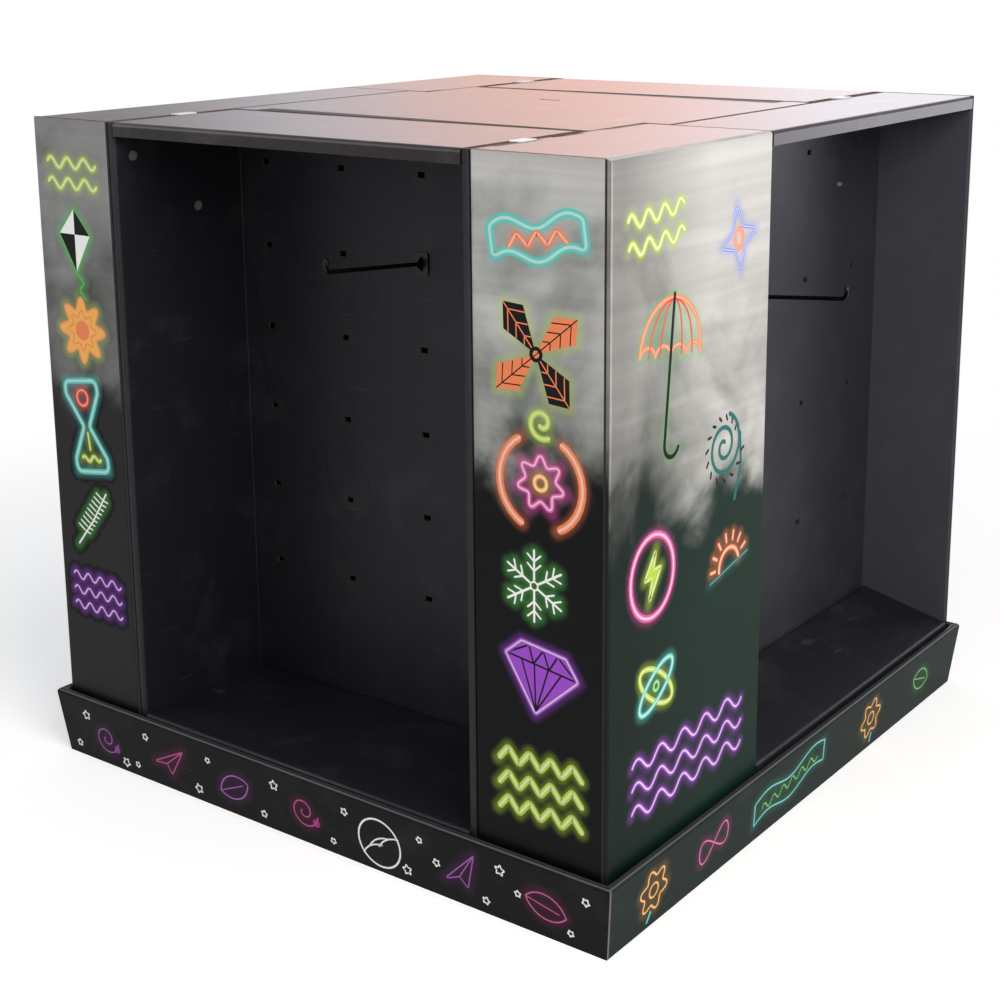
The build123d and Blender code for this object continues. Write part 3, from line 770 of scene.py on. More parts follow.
def arc(radius, start=0, end=360, centre=(0, 0), tall=1.0):
    """Points on part of a circle or an upright ellipse, from one angle to another in degrees."""
    count = max(4, round(abs(end - start) / 12))
    whole = abs(end - start) == 360
    angles = [math.radians(start + (end - start) * index / count) for index in range(count + (not whole))]
    return [(centre[0] + radius * math.cos(a), centre[1] + tall * radius * math.sin(a)) for a in angles]


def spiral(inner, outer, turns, start=0):
    """Points on a flat spiral."""
    count = round(turns * 24)
    steps = [index / count for index in range(count + 1)]
    angles = [math.radians(start) + step * turns * 2 * math.pi for step in steps]
    return [polar(inner + (outer - inner) * step, angle) for step, angle in zip(steps, angles)]


def star(outer, inner, count, turn=90):
    """Points of a star, tip and notch in turn."""
    radii = [inner if index % 2 else outer for index in range(2 * count)]
    return [polar(radius, math.radians(turn + 180 * index / count)) for index, radius in enumerate(radii)]


def wave(length, height, cycles, drop=0):
    """Points on a level sine wave."""
    count = round(cycles * 12)
    steps = [index / count for index in range(count + 1)]
    swing = [height / 2 * math.sin(2 * math.pi * cycles * step) for step in steps]
    return [(length * (step - 0.5), drop + rise) for step, rise in zip(steps, swing)]


def zigzag(length, height, count, drop=0):
    """Points that go up and down along a line."""
    return [(length * (index / count - 0.5), drop + height * (index % 2 - 0.5)) for index in range(count + 1)]


def rosette(radius, petals, depth):
    """Points on a round flower with soft petals."""
    count = petals * 12
    angles = [2 * math.pi * index / count for index in range(count)]
    return [polar(radius * (1 + depth * math.cos(petals * angle)), angle) for angle in angles]


def moved(figure, across=0, up=0, turn=0, size=1.0, glow=None):
    """A figure that is turned, sized and set at a place. A glow colour replaces that of its inks."""
    sine, cosine = math.sin(math.radians(turn)), math.cos(math.radians(turn))
    result = []
    for line in figure:
        turned = [(x * cosine - y * sine, x * sine + y * cosine) for x, y in line["points"]]
        points = [(across + size * x, up + size * y) for x, y in turned]
        result.append({**line, "points": points, "glow": glow or line["glow"]})
    return result


print("points on a wave:", len(wave(100, 10, 3)), "on a star:", len(star(10, 5, 5)))

# %% [markdown]
# Large figures stand on the columns and the end walls. Most are drawn as bent glass tubes, with a wide line
# and a light core. A few are flat drawings with fields of ink, such as the kite and the pinwheel.

# %% Figures on the upright boards
def ribbon_wave():
    """Cyan band that waves round an orange zigzag."""
    top, foot = wave(138, 16, 1.5, 20), wave(138, 16, 1.5, -20)
    band = stroke(top + foot[::-1], cyan, 11, True, 0.45, 8)
    return [band, stroke(zigzag(88, 17, 6), orange, 7.5, core=0.4)]


def pinwheel(light, dark):
    """Toy windmill with four sails, two of each ink, and fine lines on them."""
    lines = []
    for index in range(4):
        sail = [(0, 0), (58, 6), (66, 34), (34, 40)]
        ink, vein = (light, dark) if index % 2 == 0 else (dark, light)
        parts = [patch(sail, ink)]
        for share in (0.35, 0.6, 0.85):
            parts.append(thin([(x * share, y * share) for x, y in sail[1:]], vein, 1.6))
        parts.append(thin([(0, 0), sail[2]], vein, 1.6))
        lines += moved(parts, turn=90 * index)
    return lines + [thin(arc(7), dark, 5, True), patch(arc(5), light)]


def ringed_sun():
    """Broken orange ring round a pink star, with a green curl on top."""
    lines = [stroke(arc(62, *ends), orange, 11, core=0.45) for ends in ((118, 246), (-66, 62))]
    lines.append(stroke(star(40, 22, 7), pink, 7.5, True, 0.6, 4))
    lines.append(stroke(arc(9), amber, 6, True))
    return lines + moved([stroke(spiral(3, 21, 1.3, 200), lime, 8, core=0.5)], 2, 76)


def frost_star():
    """White six-armed crystal."""
    lines = []
    for index in range(6):
        arm = [thin([(5, 0), (44, 0)], white, 3.2)]
        for place in (18, 29):
            for side in (-1, 1):
                arm.append(thin([(place, 0), (place + 9, 10 * side)], white, 2.6))
        lines += moved(arm, turn=60 * index + 30)
    return lines + [thin(arc(5), white, 2.4, True)]


def gem(light, dark):
    """Cut stone with its facets."""
    outline = [(-56, 18), (-34, 42), (34, 42), (56, 18), (0, -48)]
    crown = [(-54, 18), (-22, 40), (-12, 18), (0, 40), (12, 18), (22, 40), (54, 18)]
    lines = [patch(outline, light), stroke(outline, light, 7, True, 0.6)]
    for x in (-34, -12, 12, 34):
        lines.append(thin([(x * 0.9, 18), (0, -44)], dark, 2.4))
    return lines + [thin(crown, dark, 2.6, corner=0.5), thin([(-54, 18), (54, 18)], dark, 2.6)]


def wave_bars(ink, length, rows, pitch, width=9.5, height=17, cycles=3):
    """Rows of thick waves under each other."""
    return [stroke(wave(length, height, cycles, -pitch * row), ink, width, core=0.75) for row in range(rows)]


def chevrons(ink, length, rows, pitch):
    """Rows of thick zigzags under each other."""
    return [stroke(zigzag(length, 20, 8, -pitch * row), ink, 9.5, corner=3) for row in range(rows)]


def parasol():
    """Orange scalloped parasol with a dark stick that ends in a crook."""
    lines = [stroke(arc(62, 0, 180), orange, 7, core=0.3)]
    for index in range(4):
        lines.append(stroke(arc(15.5, 0, 180, (-46.5 + 31 * index, -2), 0.8), orange, 5.5, core=0.3))
    for radius in (22, 44):
        lines.append(thin(arc(radius, 0, 180, (0, -2), 62 / radius), red, 3))
    crook = [(0, 68), (0, -92)] + arc(15, 180, 350, (15, -98))
    return lines + [thin(crook, coal, 6, corner=4)]


def fern():
    """Teal curl with small leaves round it, which lean because their tips are turned on from their feet."""
    lines = [thin(spiral(4, 44, 2.1, 40), teal, 6)]
    for index in range(14):
        angle = math.radians(-20 - 24 * index)
        reach = 47 - 1.2 * index
        lines.append(thin([polar(reach, angle), polar(reach + 9, angle + 0.15)], coal, 4))
    return lines + [thin([(42, 12), (46, -34), (30, -82)], teal, 6, corner=20)]


def bolt_badge():
    """Pink ring with a yellow bolt in it."""
    bolt = [(8, 34), (-18, -2), (0, -2), (-8, -34), (20, 8), (2, 8)]
    ring = stroke(arc(50, tall=1.08), pink, 10, True)
    return [ring, patch(bolt, lime), stroke(bolt, lime, 6, True, 0.6, 1)]


def half_sun():
    """Orange half sun with short rays."""
    lines = [stroke(arc(26, 0, 180), orange, 7), stroke([(-52, -2), (52, -2)], teal, 5, core=0.2)]
    for index in range(7):
        angle = math.radians(15 + 25 * index)
        lines.append(stroke([polar(34, angle), polar(50, angle)], orange, 5.5))
    return lines


def orbits():
    """Cyan and green rings that cross."""
    lines = moved([stroke(arc(46, tall=0.4), cyan, 7.5, True)], turn=35)
    lines += moved([stroke(arc(46, tall=0.4), lime, 7.5, True)], turn=-35)
    return lines + [stroke(arc(6), green, 6, True)]


def spark():
    """Small blue star with an orange middle."""
    middle_ring = stroke(arc(10, tall=1.3), orange, 5.5, True, 0.3)
    return [stroke(star(46, 18, 4), blue, 4.5, True, 0.6, 3), middle_ring]


def kite():
    """Black and white kite with a green rim and tail."""
    tip, foot, left, right, middle = (0, 44), (0, -40), (-30, 10), (30, 10), (0, 10)
    lines = [patch([tip, left, middle], white), patch([foot, right, middle], white)]
    lines += [patch([tip, right, middle], coal), patch([foot, left, middle], coal)]
    lines.append(thin([tip, right, foot, left], green, 2.6, True, 1))
    return lines + [thin([foot, (14, -52), (2, -62), (16, -74)], green, 3, corner=5)]


def daisy(petal, middle):
    """Filled flower with a ring of petals."""
    rim = rosette(36, 8, 0.22)
    lines = [patch(rim, petal), stroke(rim, middle, 3, True, 0.2, 0.5), patch(arc(13), middle)]
    return lines + [thin(rosette(22, 8, 0.2), middle, 2, True, 0.5)]


def hourglass():
    """Cyan hourglass with green sand and a red cap."""
    right = [(36, 70), (36, 50), (6, 0), (36, -50), (36, -70)]
    glass = [(-36, 70)] + right + [(-x, y) for x, y in right[:0:-1]]
    lines = [stroke(glass, cyan, 9, True, 0.5, 10), stroke(wave(44, 8, 2, -50), lime, 7)]
    lines.append(stroke([(0, -8), (0, -38)], lime, 5))
    return lines + [stroke(arc(12, centre=(0, 44)), red, 7.5, True, 0.4)]


def feather():
    """White feather with short barbs."""
    lines = [thin([(-34, -40), (0, 0), (30, 44)], white, 3, corner=30)]
    for index in range(9):
        x, y = -18 + 5 * index, -18 + 6.4 * index
        lines.append(thin([(x, y), (x - 14, y + 9)], white, 2.6))
        lines.append(thin([(x, y), (x + 11, y - 3)], white, 2.6))
    return lines


# %% [markdown]
# Small figures run along the skirt in fine lines of dim inks, with little stars between them on the front.

# %% Figures on the skirt
def small_star(size):
    """White outline star."""
    return [thin(star(size, size * 0.48, 5), white, 2.2, True, 0.6)]


def paper_plane(ink):
    """Folded dart."""
    rim = [(-30, -8), (34, 16), (2, -24), (-4, -8)]
    return [stroke(rim, ink, 2.4, True, 0.2, 1), stroke([(34, 16), (-4, -8)], ink, 2.2, core=0.2)]


def curl(ink):
    """Curl that ends in a drop."""
    return [stroke(spiral(3, 24, 1.6, 150), ink, 2.6, core=0.2), patch(arc(6, centre=(22, -8)), ink)]


def leaf(ink):
    """Leaf with a vein."""
    rim = arc(34, 30, 150, (0, -17)) + arc(34, 210, 330, (0, 17))
    return [stroke(rim, ink, 2.6, True, 0.3, 1), stroke([(-30, 0), (20, 0)], ink, 2.2, core=0.2)]


def ball():
    """White ring with bands across it."""
    lines = [thin(arc(34), white, 3, True)]
    for shift in (-16, 0, 16):
        lines.append(thin(arc(40, 60, 120, (shift, -34 - 0.3 * abs(shift))), white, 2.4))
    return moved(lines, turn=25)


def flower_on_stem():
    """Amber rosette on a blue stem."""
    lines = [stroke(rosette(26, 6, 0.2), amber, 3.2, True, 0.3, 0.5), stroke(arc(10), amber, 3, True, 0.3)]
    return lines + [thin([(3, -29), (-3, -45)], cyan, 5)]


def loop_knot(ink):
    """Lying figure eight."""
    count = 48
    angles = [2 * math.pi * index / count for index in range(count)]
    return [stroke([(36 * math.cos(a), 17 * math.sin(2 * a)) for a in angles], ink, 2.6, True, 0.3, 0.2)]


def wave_band(length):
    """Long cyan band between two waves."""
    top, foot = wave(length, 14, 1.5, 17), wave(length, 14, 1.5, -17)
    band = stroke(top + foot[::-1], cyan, 3, True, 0.3, 1)
    return [band, stroke(wave(length * 0.8, 12, 6), green, 2.6, core=0.2)]


# %% [markdown]
# A face has an origin, a direction across, a direction up and a size, and the figures are set on it in
# millimetres. They stand in a loose column on the upright boards and in a row on the skirt.

# %% Faces that carry print
foot_out = 4.3 * MM
print_lift = 0.06 * MM
rightwards, backwards, upwards = Vector((1, 0, 0)), Vector((0, 1, 0)), Vector((0, 0, 1))
front_lean = Vector((0, -flare, rim_z)).normalized()
side_lean = Vector((flare, 0, rim_z)).normalized()

faces = {
    "column_front": (Vector((column_back, -half_depth, rim_z)), rightwards, upwards, 203, 900),
    "column_side": (Vector((half_width, -half_depth, rim_z)), backwards, upwards, 386, 900),
    "end_wall": (Vector((-half_width, -half_depth, rim_z)), rightwards, upwards, 157, 900),
    "skirt_front": (Vector((-half_width, -half_depth - foot_out, 0)), rightwards, front_lean, 1016, 98),
    "skirt_side": (Vector((half_width + foot_out, -half_depth, 0)), backwards, side_lean, 1060, 98),
}

# %% [markdown]
# A table says where each figure goes: after the figure come how far across and how far up it stands, its
# turn in degrees, its size, and the colour of the glow where it isn't that of its inks.

# %% Figures in their places
placed = {
    "column_front": [
        (ribbon_wave(), 100, 800, 8),
        (pinwheel(orange, coal), 98, 660, 12, 1.05, lime),
        (ringed_sun(), 104, 500),
        (frost_star(), 94, 366, 0, 1.1, green),
        (gem(purple, coal), 102, 244, -8, 1.0, purple),
        (chevrons(lime, 132, 3, 34), 102, 130),
    ],
    "column_side": [
        (wave_bars(lime, 128, 2, 34, 8.5, 17, 3.5), 100, 826, 4),
        (spark(), 300, 770, 10),
        (parasol(), 136, 648, -6, 1.15, green),
        (fern(), 272, 500),
        (bolt_badge(), 100, 372),
        (half_sun(), 292, 330, 12),
        (orbits(), 112, 222),
        (wave_bars(purple, 280, 3, 32, 7, 20, 5), 196, 128),
    ],
    "end_wall": [
        (wave_bars(lime, 108, 2, 30, 8.5, 15, 3), 80, 836),
        (kite(), 78, 720, 0, 1.15, green),
        (daisy(amber, orange), 82, 588, 0, 1.15, lime),
        (hourglass(), 78, 440, 8),
        (feather(), 80, 292, 0, 1.1, green),
        (wave_bars(purple, 110, 3, 24, 5, 12, 4), 80, 196),
    ],
    "skirt_front": [],
    "skirt_side": [],
}

figure_places = [90 + 140 * index for index in range(7)]
small_figures = [curl(plum), paper_plane(magenta), leaf(plum), curl(magenta), ball()]
small_figures += [paper_plane(plum), leaf(magenta)]
for index, (figure, across) in enumerate(zip(small_figures, figure_places)):
    placed["skirt_front"].append((figure, across, 46 + 6 * (index % 2), 18 * (index % 3) - 12, 1.1))
for index in range(37):
    across, up = 22 + 27 * index, (20, 76, 50, 82, 16)[index % 5]
    if min(abs(across - figure_place) for figure_place in figure_places) >= 36:
        placed["skirt_front"].append((small_star((7, 9, 6)[index % 3]), across, up, 9 * index))

side_figures = [flower_on_stem(), loop_knot(pink), wave_band(200), flower_on_stem(), leaf(green)]
for figure, across, turn in zip(side_figures, (96, 250, 470, 740, 930), (-8, 10, 6, 14, -16)):
    placed["skirt_side"].append((figure, across, 54, turn, 1.05))

figures = {name: [line for item in items for line in moved(*item)] for name, items in placed.items()}
print("strokes:", {name: len(lines) for name, lines in figures.items()})

# %% [markdown]
# The lines are laid by Geometry Nodes. The tree takes the strokes as loose edges that carry their ink,
# width and corner radius. It turns them into curves, rounds their corners and sweeps a flat profile along
# them. The profile remembers how far across the line a point lies, which the ink uses to draw the light
# core. The width shrinks like a half circle towards the ends of an open line, so that it ends round.

# %% Tree that lays printed lines
point_spacing = 1.5 * MM
narrowest_end = 0.2


def new_geometry_tree(name, sizes, materials, source, result):
    """Geometry Nodes tree with its sockets. Returns the tree and what it is given."""
    tree = bpy.data.node_groups.new(name, "GeometryNodeTree")
    tree.interface.new_socket(source, in_out="INPUT", socket_type="NodeSocketGeometry")
    for title, value in sizes.items():
        tree.interface.new_socket(title, in_out="INPUT", socket_type="NodeSocketFloat").default_value = value
    for title in materials:
        tree.interface.new_socket(title, in_out="INPUT", socket_type="NodeSocketMaterial")
    tree.interface.new_socket(result, in_out="OUTPUT", socket_type="NodeSocketGeometry")
    return tree, add(tree, "NodeGroupInput").outputs


def rounded_curves(tree, mesh, radius, count, spacing):
    """Curves along the edges of a mesh, with round corners and even steps."""
    curves = add(tree, "GeometryNodeMeshToCurve", {"Mesh": mesh})
    corner = {"Curve": curves, "Radius": radius, "Count": count, "Limit Radius": True}
    curves = add(tree, "GeometryNodeFilletCurve", corner, mode="POLY")
    return add(tree, "GeometryNodeResampleCurve", {"Curve": curves, "Length": spacing}, mode="LENGTH")


def round_ends(tree, width):
    """The width, less towards both ends of an open line, where it follows a half circle."""
    walked = add(tree, "GeometryNodeSplineParameter").outputs["Length"]
    whole = add(tree, "GeometryNodeSplineLength").outputs["Length"]
    left = add(tree, "ShaderNodeMath", [whole, walked], operation="SUBTRACT")
    to_end = add(tree, "ShaderNodeMath", [walked, left], operation="MINIMUM")
    radius = add(tree, "ShaderNodeMath", [width, 0.5], operation="MULTIPLY")
    inwards = add(tree, "ShaderNodeMath", [to_end, radius], operation="DIVIDE", use_clamp=True)
    outwards = add(tree, "ShaderNodeMath", [1.0, inwards], operation="SUBTRACT")
    squared = add(tree, "ShaderNodeMath", [outwards, outwards], operation="MULTIPLY")
    rest = add(tree, "ShaderNodeMath", [1.0, squared], operation="SUBTRACT")
    share = add(tree, "ShaderNodeMath", [rest], operation="SQRT")
    share = add(tree, "ShaderNodeMath", [share, narrowest_end], operation="MAXIMUM")
    ring = add(tree, "GeometryNodeInputSplineCyclic")
    share = add(tree, "ShaderNodeMath", [share, ring], operation="MAXIMUM")
    return add(tree, "ShaderNodeMath", [width, share], operation="MULTIPLY")


def make_line_tree():
    """Geometry Nodes tree that turns strokes into flat printed lines with round ends."""
    tree, given = new_geometry_tree("printed_lines", {"Spacing": point_spacing}, ["Ink"], "Strokes", "Lines")
    width = add(tree, "GeometryNodeInputNamedAttribute", {"Name": "width"})
    corner = add(tree, "GeometryNodeInputNamedAttribute", {"Name": "corner"})
    curves = rounded_curves(tree, given["Strokes"], corner, 3, given["Spacing"])
    curves = add(tree, "GeometryNodeSetCurveNormal", {"Curve": curves}, mode="Z_UP")
    profile = add(tree, "GeometryNodeCurvePrimitiveLine", {"Start": (-0.5, 0, 0), "End": (0.5, 0, 0)})
    across = add(tree, "GeometryNodeSplineParameter").outputs["Factor"]
    profile = {"Geometry": profile, "Name": "across", "Value": across}
    profile = add(tree, "GeometryNodeStoreNamedAttribute", profile)
    sweep = {"Curve": curves, "Profile Curve": profile, "Scale": round_ends(tree, width)}
    lines = add(tree, "GeometryNodeCurveToMesh", sweep)
    lines = add(tree, "GeometryNodeRealizeInstances", {"Geometry": lines})
    lines = add(tree, "GeometryNodeSetMaterial", {"Geometry": lines, "Material": given["Ink"]})
    add(tree, "NodeGroupOutput", {"Lines": lines})
    return tree


def run_tree(name, mesh, tree, **inputs):
    """Puts a mesh through a tree, with its named inputs, and returns the result as a plain mesh."""
    source = bpy.data.objects.new(name, mesh)
    bpy.context.scene.collection.objects.link(source)
    modifier = source.modifiers.new(tree.name, "NODES")
    modifier.node_group = tree
    for item in tree.interface.items_tree:
        key = item.name.replace(" ", "_").lower()
        if item.in_out == "INPUT" and key in inputs:
            modifier[item.identifier] = inputs[key]
    evaluated = source.evaluated_get(bpy.context.evaluated_depsgraph_get())
    result = bpy.data.meshes.new_from_object(evaluated)
    bpy.data.objects.remove(source)
    if result.polygons[0].normal.z < 0:
        result.flip_normals()
    return result


line_tree = make_line_tree()
print("nodes in the tree of the lines:", len(line_tree.nodes))

# %% [markdown]
# The ink is one material for all lines: the stroke's own colour, paler towards its middle. Round the lines
# the board is tinted by their glow. That tint lies on a thin grid over the print and fades into the smoke
# colour, which the same function draws, so the grid has no visible edge.

# %% Ink and glow
core_ink = "#f6f0e6"
core_edge, core_middle = 0.26, 0.08  # where the core ends and is full, as shares of the width from the middle


def make_line_ink():
    """Offset ink under varnish, as glossy as the board round it."""
    material, tree = new_material("offset_ink_lines")
    place, _ = object_place(tree)
    ink = add(tree, "ShaderNodeAttribute", attribute_name="ink").outputs
    across = add(tree, "ShaderNodeAttribute", attribute_name="across").outputs["Fac"]
    away = add(tree, "ShaderNodeMath", [across, 0.5], operation="SUBTRACT")
    away = add(tree, "ShaderNodeMath", [away], operation="ABSOLUTE")
    light = [away, core_edge, core_middle]
    light = add(tree, "ShaderNodeMapRange", light, interpolation_type="SMOOTHSTEP")
    light = add(tree, "ShaderNodeMath", [light, ink["Alpha"]], operation="MULTIPLY")
    colour = layered(tree, ink["Color"], (light, core_ink))
    finish_board(tree, colour, board_bump(tree, place, printed_bump))
    return material


def make_glow_ink(name, ground):
    """Print with the tint of the lines near by. The ground gives the colour of the print without it."""
    material, tree = new_material(name)
    place, where = object_place(tree)
    tint = add(tree, "ShaderNodeAttribute", attribute_name="glow").outputs
    colour = layered(tree, ground(tree, place, where), (tint["Alpha"], tint["Color"]))
    finish_board(tree, colour, board_bump(tree, place, printed_bump))
    return material


line_ink = make_line_ink()
smoke_glow = make_glow_ink("offset_glow_on_smoke", smoke_colour)
skirt_glow = make_glow_ink("offset_glow_on_black", skirt_colour)
print("inks:", line_ink.name, smoke_glow.name, skirt_glow.name)

# %% [markdown]
# Lines and fields are laid flat first, in metres, each a hair higher than the one before where they may
# cross, and turned on to their face later. Every point carries its colour, so one material serves them all.

# %% Meshes of the lines and the fields
line_step = 0.002 * MM


def paint(mesh, name, values):
    """Stores a colour for every point of a mesh."""
    layer = mesh.attributes.new(name, "FLOAT_COLOR", "POINT")
    layer.data.foreach_set("color", [part for value in values for part in value])


def lay_lines(lines):
    """Mesh of all the printed lines of a face."""
    points, edges, inks, widths, corners = [], [], [], [], []
    for order, line in enumerate(lines):
        first, count = len(points), len(line["points"])
        height = print_lift + line_step * (order % 20 + 1)
        points += [(x * MM, y * MM, height) for x, y in line["points"]]
        edges += [(first + index, first + index + 1) for index in range(count - 1)]
        edges += [(first + count - 1, first)] if line["closed"] else []
        inks += [linear(line["ink"])[:3] + [line["core"]]] * count
        widths += [line["width"] * MM] * count
        corners += [line["corner"] * MM] * count
    mesh = bpy.data.meshes.new("strokes")
    mesh.from_pydata(points, edges, [])
    paint(mesh, "ink", inks)
    for name, values in (("width", widths), ("corner", corners)):
        mesh.attributes.new(name, "FLOAT", "POINT").data.foreach_set("value", values)
    return run_tree("strokes", mesh, line_tree, ink=line_ink)


def lay_fields(fields):
    """Mesh of all the printed fields of a face, under its lines."""
    points, shapes, inks = [], [], []
    for order, field in enumerate(fields):
        rim, count = field["points"], len(field["points"])
        shape = tuple(range(len(points), len(points) + count))
        area = sum(a[0] * b[1] - b[0] * a[1] for a, b in zip(rim, rim[1:] + rim[:1]))
        shapes.append(shape if area > 0 else shape[::-1])
        height = print_lift * (0.8 + 0.01 * order)
        points += [(x * MM, y * MM, height) for x, y in rim]
        inks += [linear(field["ink"])[:3] + [0]] * count
    mesh = bpy.data.meshes.new("fields")
    mesh.from_pydata(points, [], shapes)
    paint(mesh, "ink", inks)
    mesh.materials.append(line_ink)
    return mesh


# %% [markdown]
# The glow is a grid of small cells over the face. Each point of it looks up the nearest line of every
# colour, mixes the colours by how near they are, and fades out 15 mm away. Cells without any tint are left
# out.

# %% Mesh of the glow
glow_cell = 4.0
glow_start, glow_reach = 4.0, 11.0
glow_margin = 6.0
least_tint = 0.004


def walk(line, step):
    """Points along a line, a step apart or less."""
    rim = line["points"] + (line["points"][:1] if line["closed"] else [])
    for (x, y), (next_x, next_y) in zip(rim, rim[1:]):
        count = max(1, math.ceil(math.hypot(next_x - x, next_y - y) / step))
        for index in range(count):
            yield x + (next_x - x) * index / count, y + (next_y - y) * index / count


def glow_spots(lines):
    """For each colour of glow, a tree that finds the nearest point of the lines that have it."""
    trees = {}
    for glow in sorted({line["glow"] for line in lines if line["glow"]}):
        spots = [spot for line in lines if line["glow"] == glow for spot in walk(line, glow_cell)]
        trees[glow] = kdtree.KDTree(len(spots))
        for index, (x, y) in enumerate(spots):
            trees[glow].insert((x, y, 0), index)
        trees[glow].balance()
    return trees


def glow_at(trees, x, y, most):
    """Tint at a point: a colour, and in its alpha how strong it is."""
    total, tint = 0.0, [0.0, 0.0, 0.0]
    for glow, spots in trees.items():
        gap = max(0.0, spots.find((x, y, 0))[2] - glow_start) / glow_reach
        strength = max(0.0, 1 - gap) ** 1.6
        total += strength
        tint = [value + strength * part for value, part in zip(tint, linear(glow))]
    return [value / max(total, 0.001) for value in tint] + [most * min(1.0, total)]


def lay_glow(lines, wide, tall, most, material):
    """Grid over a face that carries the tint of its lines, cut down to where there is any."""
    trees = glow_spots(lines)
    wide, tall = wide - 2 * glow_margin, tall - 2 * glow_margin
    columns, rows = round(wide / glow_cell), round(tall / glow_cell)
    points, tints = [], []
    for row in range(rows + 1):
        for column in range(columns + 1):
            x, y = glow_margin + wide * column / columns, glow_margin + tall * row / rows
            points.append((x * MM, y * MM, print_lift / 2))
            tints.append(glow_at(trees, x, y, most))
    shapes = []
    for row in range(rows):
        for column in range(columns):
            corner = row * (columns + 1) + column
            shape = (corner, corner + 1, corner + columns + 2, corner + columns + 1)
            if max(tints[index][3] for index in shape) > least_tint:
                shapes.append(shape)
    used = sorted({index for shape in shapes for index in shape})
    order = {index: place for place, index in enumerate(used)}
    shapes = [tuple(order[index] for index in shape) for shape in shapes]
    mesh = bpy.data.meshes.new("glow")
    mesh.from_pydata([points[index] for index in used], [], shapes)
    paint(mesh, "glow", [tints[index] for index in used])
    mesh.materials.append(material)
    return mesh


# %% [markdown]
# Each print is laid once and used twice, because the rack looks the same when it is turned round. Its place
# goes into the mesh, and the object stays at the origin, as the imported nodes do.

# %% Print on the four sides
column_glow, dim_glow = 0.30, 0.10


def add_piece(name, mesh, place):
    """Object at the origin whose place is in its mesh, riding on the rack."""
    mesh.transform(place)
    piece = bpy.data.objects.new(name, mesh)
    bpy.context.scene.collection.objects.link(piece)
    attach(piece, "root")
    return piece


printed = 0
for name, (origin, across, up, wide, tall) in faces.items():
    lines = [line for line in figures[name] if line["width"]]
    fields = [line for line in figures[name] if not line["width"]]
    place = Matrix((across, up, across.cross(up))).transposed().to_4x4()
    place.translation = origin
    on_skirt = name.startswith("skirt")
    most, ground = (dim_glow, skirt_glow) if on_skirt else (column_glow, smoke_glow)
    layers = {"lines": lay_lines(lines), "glow": lay_glow(figures[name], wide, tall, most, ground)}
    if fields:
        layers["fields"] = lay_fields(fields)
    for kind, mesh in layers.items():
        add_piece("print_" + name + "_" + kind, mesh.copy(), place)
        add_piece("print_" + name + "_turned_" + kind, mesh.copy(), half_turn @ place)
        printed += 2 * len(mesh.polygons)
print("faces of print:", printed)

# %% [markdown]
# Where the walls end at the top, the cut edge shows how the board is made. A second tree lays it along the
# walls' centre lines: a dark ground, a pale liner on each side, and the fluted paper as a sine wave between
# them. The wave comes from pushing the points of the line sideways by the sine of the way along it.

# %% Tree that lays the cut edge of corrugated board
board_sizes = {
    "Thickness": board,
    "Bend": 3 * MM,
    "Paper": 0.35 * MM,
    "Flute pitch": flute_pitch,
    "Spacing": flute_pitch / 12,
}


def make_edge_tree():
    """Geometry Nodes tree that lays a cut edge of board along centre lines."""
    papers = ("Ground", "Bare paper")
    tree, given = new_geometry_tree("board_cut_edges", board_sizes, papers, "Lines", "Edges")
    paper = given["Paper"]
    curves = rounded_curves(tree, given["Lines"], given["Bend"], 4, given["Spacing"])
    half = add(tree, "ShaderNodeMath", [given["Thickness"], 0.5], operation="MULTIPLY")
    left = add(tree, "ShaderNodeMath", [half, paper], operation="SUBTRACT")
    right = add(tree, "ShaderNodeMath", [left, -1.0], operation="MULTIPLY")
    way = add(tree, "GeometryNodeSplineParameter").outputs["Length"]
    turns = add(tree, "ShaderNodeMath", [way, given["Flute pitch"]], operation="DIVIDE")
    turns = add(tree, "ShaderNodeMath", [turns, 2 * math.pi], operation="MULTIPLY")
    swing = add(tree, "ShaderNodeMath", [turns], operation="SINE")
    swing = add(tree, "ShaderNodeMath", [swing, left], operation="MULTIPLY")
    ahead = add(tree, "GeometryNodeInputTangent")
    sideways = add(tree, "ShaderNodeVectorMath", [ahead, (0, 0, 1)], operation="CROSS_PRODUCT")
    joined = add(tree, "GeometryNodeJoinGeometry")
    layers = (
        (0.0, given["Thickness"], 0.0, "Ground"),
        (left, paper, 0.03 * MM, "Bare paper"),
        (right, paper, 0.03 * MM, "Bare paper"),
        (swing, paper, 0.06 * MM, "Bare paper"),
    )
    for away, width, rise, kind in layers:
        push = add(tree, "ShaderNodeVectorMath", {0: sideways, "Scale": away}, operation="SCALE")
        push = add(tree, "ShaderNodeVectorMath", [push, (0, 0, rise)], operation="ADD")
        line = add(tree, "GeometryNodeSetPosition", {"Geometry": curves, "Offset": push})
        line = add(tree, "GeometryNodeSetCurveNormal", {"Curve": line}, mode="Z_UP")
        profile = add(tree, "GeometryNodeCurvePrimitiveLine", {"Start": (-0.5, 0, 0), "End": (0.5, 0, 0)})
        sweep = {"Curve": line, "Profile Curve": profile, "Scale": width}
        strip = add(tree, "GeometryNodeCurveToMesh", sweep)
        strip = add(tree, "GeometryNodeSetMaterial", {"Geometry": strip, "Material": given[kind]})
        tree.links.new(strip.outputs[0], joined.inputs[0])
    edges = add(tree, "GeometryNodeRealizeInstances", {"Geometry": joined})
    add(tree, "NodeGroupOutput", {"Edges": edges})
    return tree


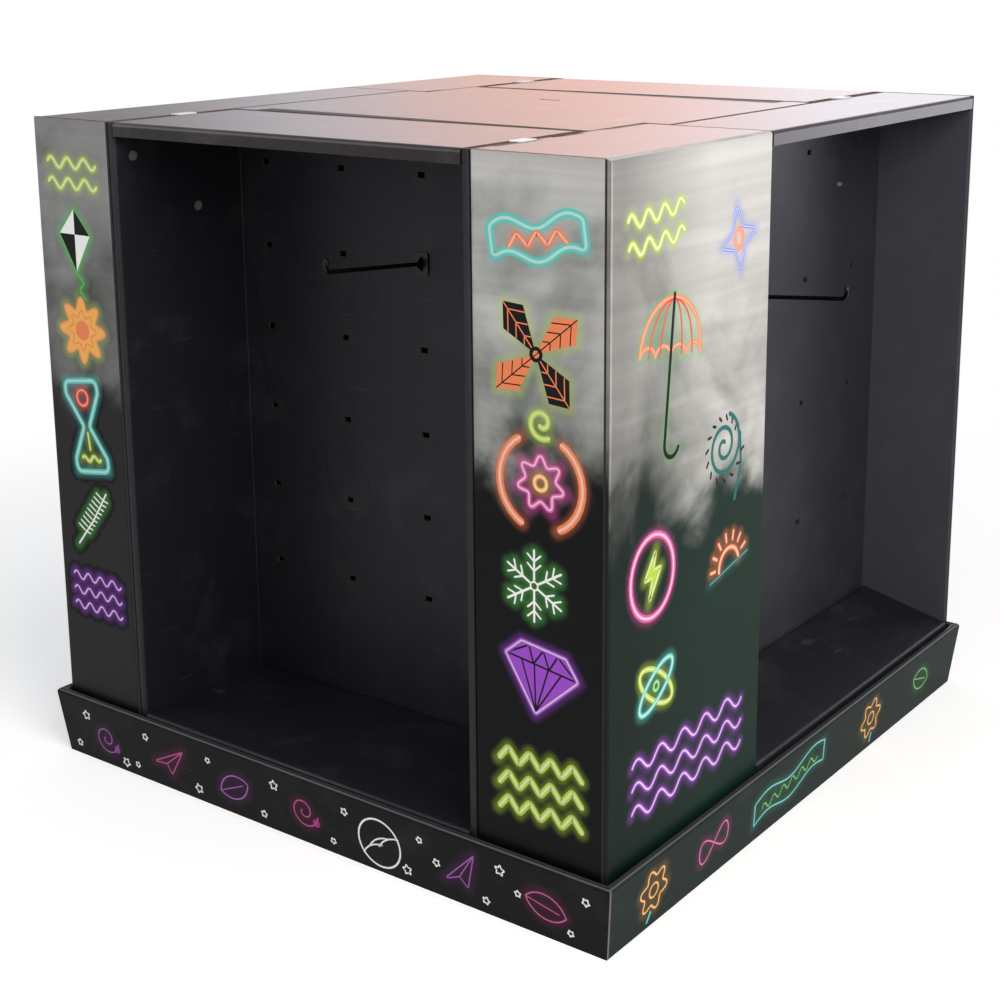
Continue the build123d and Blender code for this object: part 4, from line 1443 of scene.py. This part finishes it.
def make_paper(name, colour):
    """Bare container paper: brown, matt and fibrous."""
    material, tree = new_material(name)
    place, _ = object_place(tree)
    fibre = {"Vector": place, "Scale": 1 / fibre_grain, "Detail": 3.0}
    fibre = add(tree, "ShaderNodeTexNoise", fibre).outputs["Fac"]
    tone = add(tree, "ShaderNodeMapRange", {"Value": fibre, "To Min": 0.75, "To Max": 1.2})
    colour = add(tree, "ShaderNodeVectorMath", {0: linear(colour)[:3], "Scale": tone}, operation="SCALE")
    bump = add(tree, "ShaderNodeBump", {"Height": fibre, "Strength": 0.4, "Distance": 0.1 * MM})
    shader = add(tree, "ShaderNodeBsdfPrincipled", {"Base Color": colour, "Roughness": 0.85, "Normal": bump})
    add(tree, "ShaderNodeOutputMaterial", {"Surface": shader})
    return material


edge_tree = make_edge_tree()
ground_paper = make_paper("shaded_flute_hollows", "#33291e")
bare_paper = make_paper("bare_container_paper", "#a98d68")
print("nodes in the tree of the edges:", len(edge_tree.nodes))

# %% [markdown]
# The centre lines are those of the folded sheets: the rolled side walls and the peg panel of the front bay,
# the peg panel, end wall and hem of the side bay, and three walls of the column, whose fourth is folded
# over its top.

# %% Cut edges on top of the walls
half_board = board / 2
roll = 8.6 * MM
hem = 4.6 * MM
fold_back = 8 * MM
edge_lift = 0.05 * MM

low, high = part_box("front_bay_wall")
left, right = low.x + half_board, high.x - half_board
front, back = low.y + half_board, high.y - half_board
front_line = [(left, high.y), (left, front), (left + roll, front), (left + roll, back)]
front_line += [(right - roll, back), (right - roll, front), (right, front), (right, high.y)]

low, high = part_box("right_bay_wall")
panel, end = side_panel - half_board, high.y - half_board
side_line = [(low.x, low.y + half_board), (panel, low.y + half_board), (panel, end)]
side_line += [(high.x - half_board, end), (high.x - half_board, end - hem), (side_panel, end - hem)]

low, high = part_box("right_column")
near, far, back_wall = low.y + half_board, high.y - half_board, low.x + half_board
column_line = [(high.x - fold_back, near), (back_wall, near), (back_wall, far), (high.x - fold_back, far)]

walls = {"front_bay_wall": front_line, "side_bay_wall": side_line, "column": column_line}
for name, line in walls.items():
    mesh = bpy.data.meshes.new("centre_line")
    points = [(x, y, top_z + edge_lift) for x, y in line]
    mesh.from_pydata(points, [(index, index + 1) for index in range(len(points) - 1)], [])
    edges = run_tree("centre_line", mesh, edge_tree, ground=ground_paper, bare_paper=bare_paper)
    add_piece("cut_edge_" + name, edges.copy(), Matrix.Identity(4))
    add_piece("cut_edge_" + name + "_turned", edges.copy(), half_turn)
    print(name, "cut edge faces:", len(edges.polygons))

# %% [markdown]

print("rack dressed")
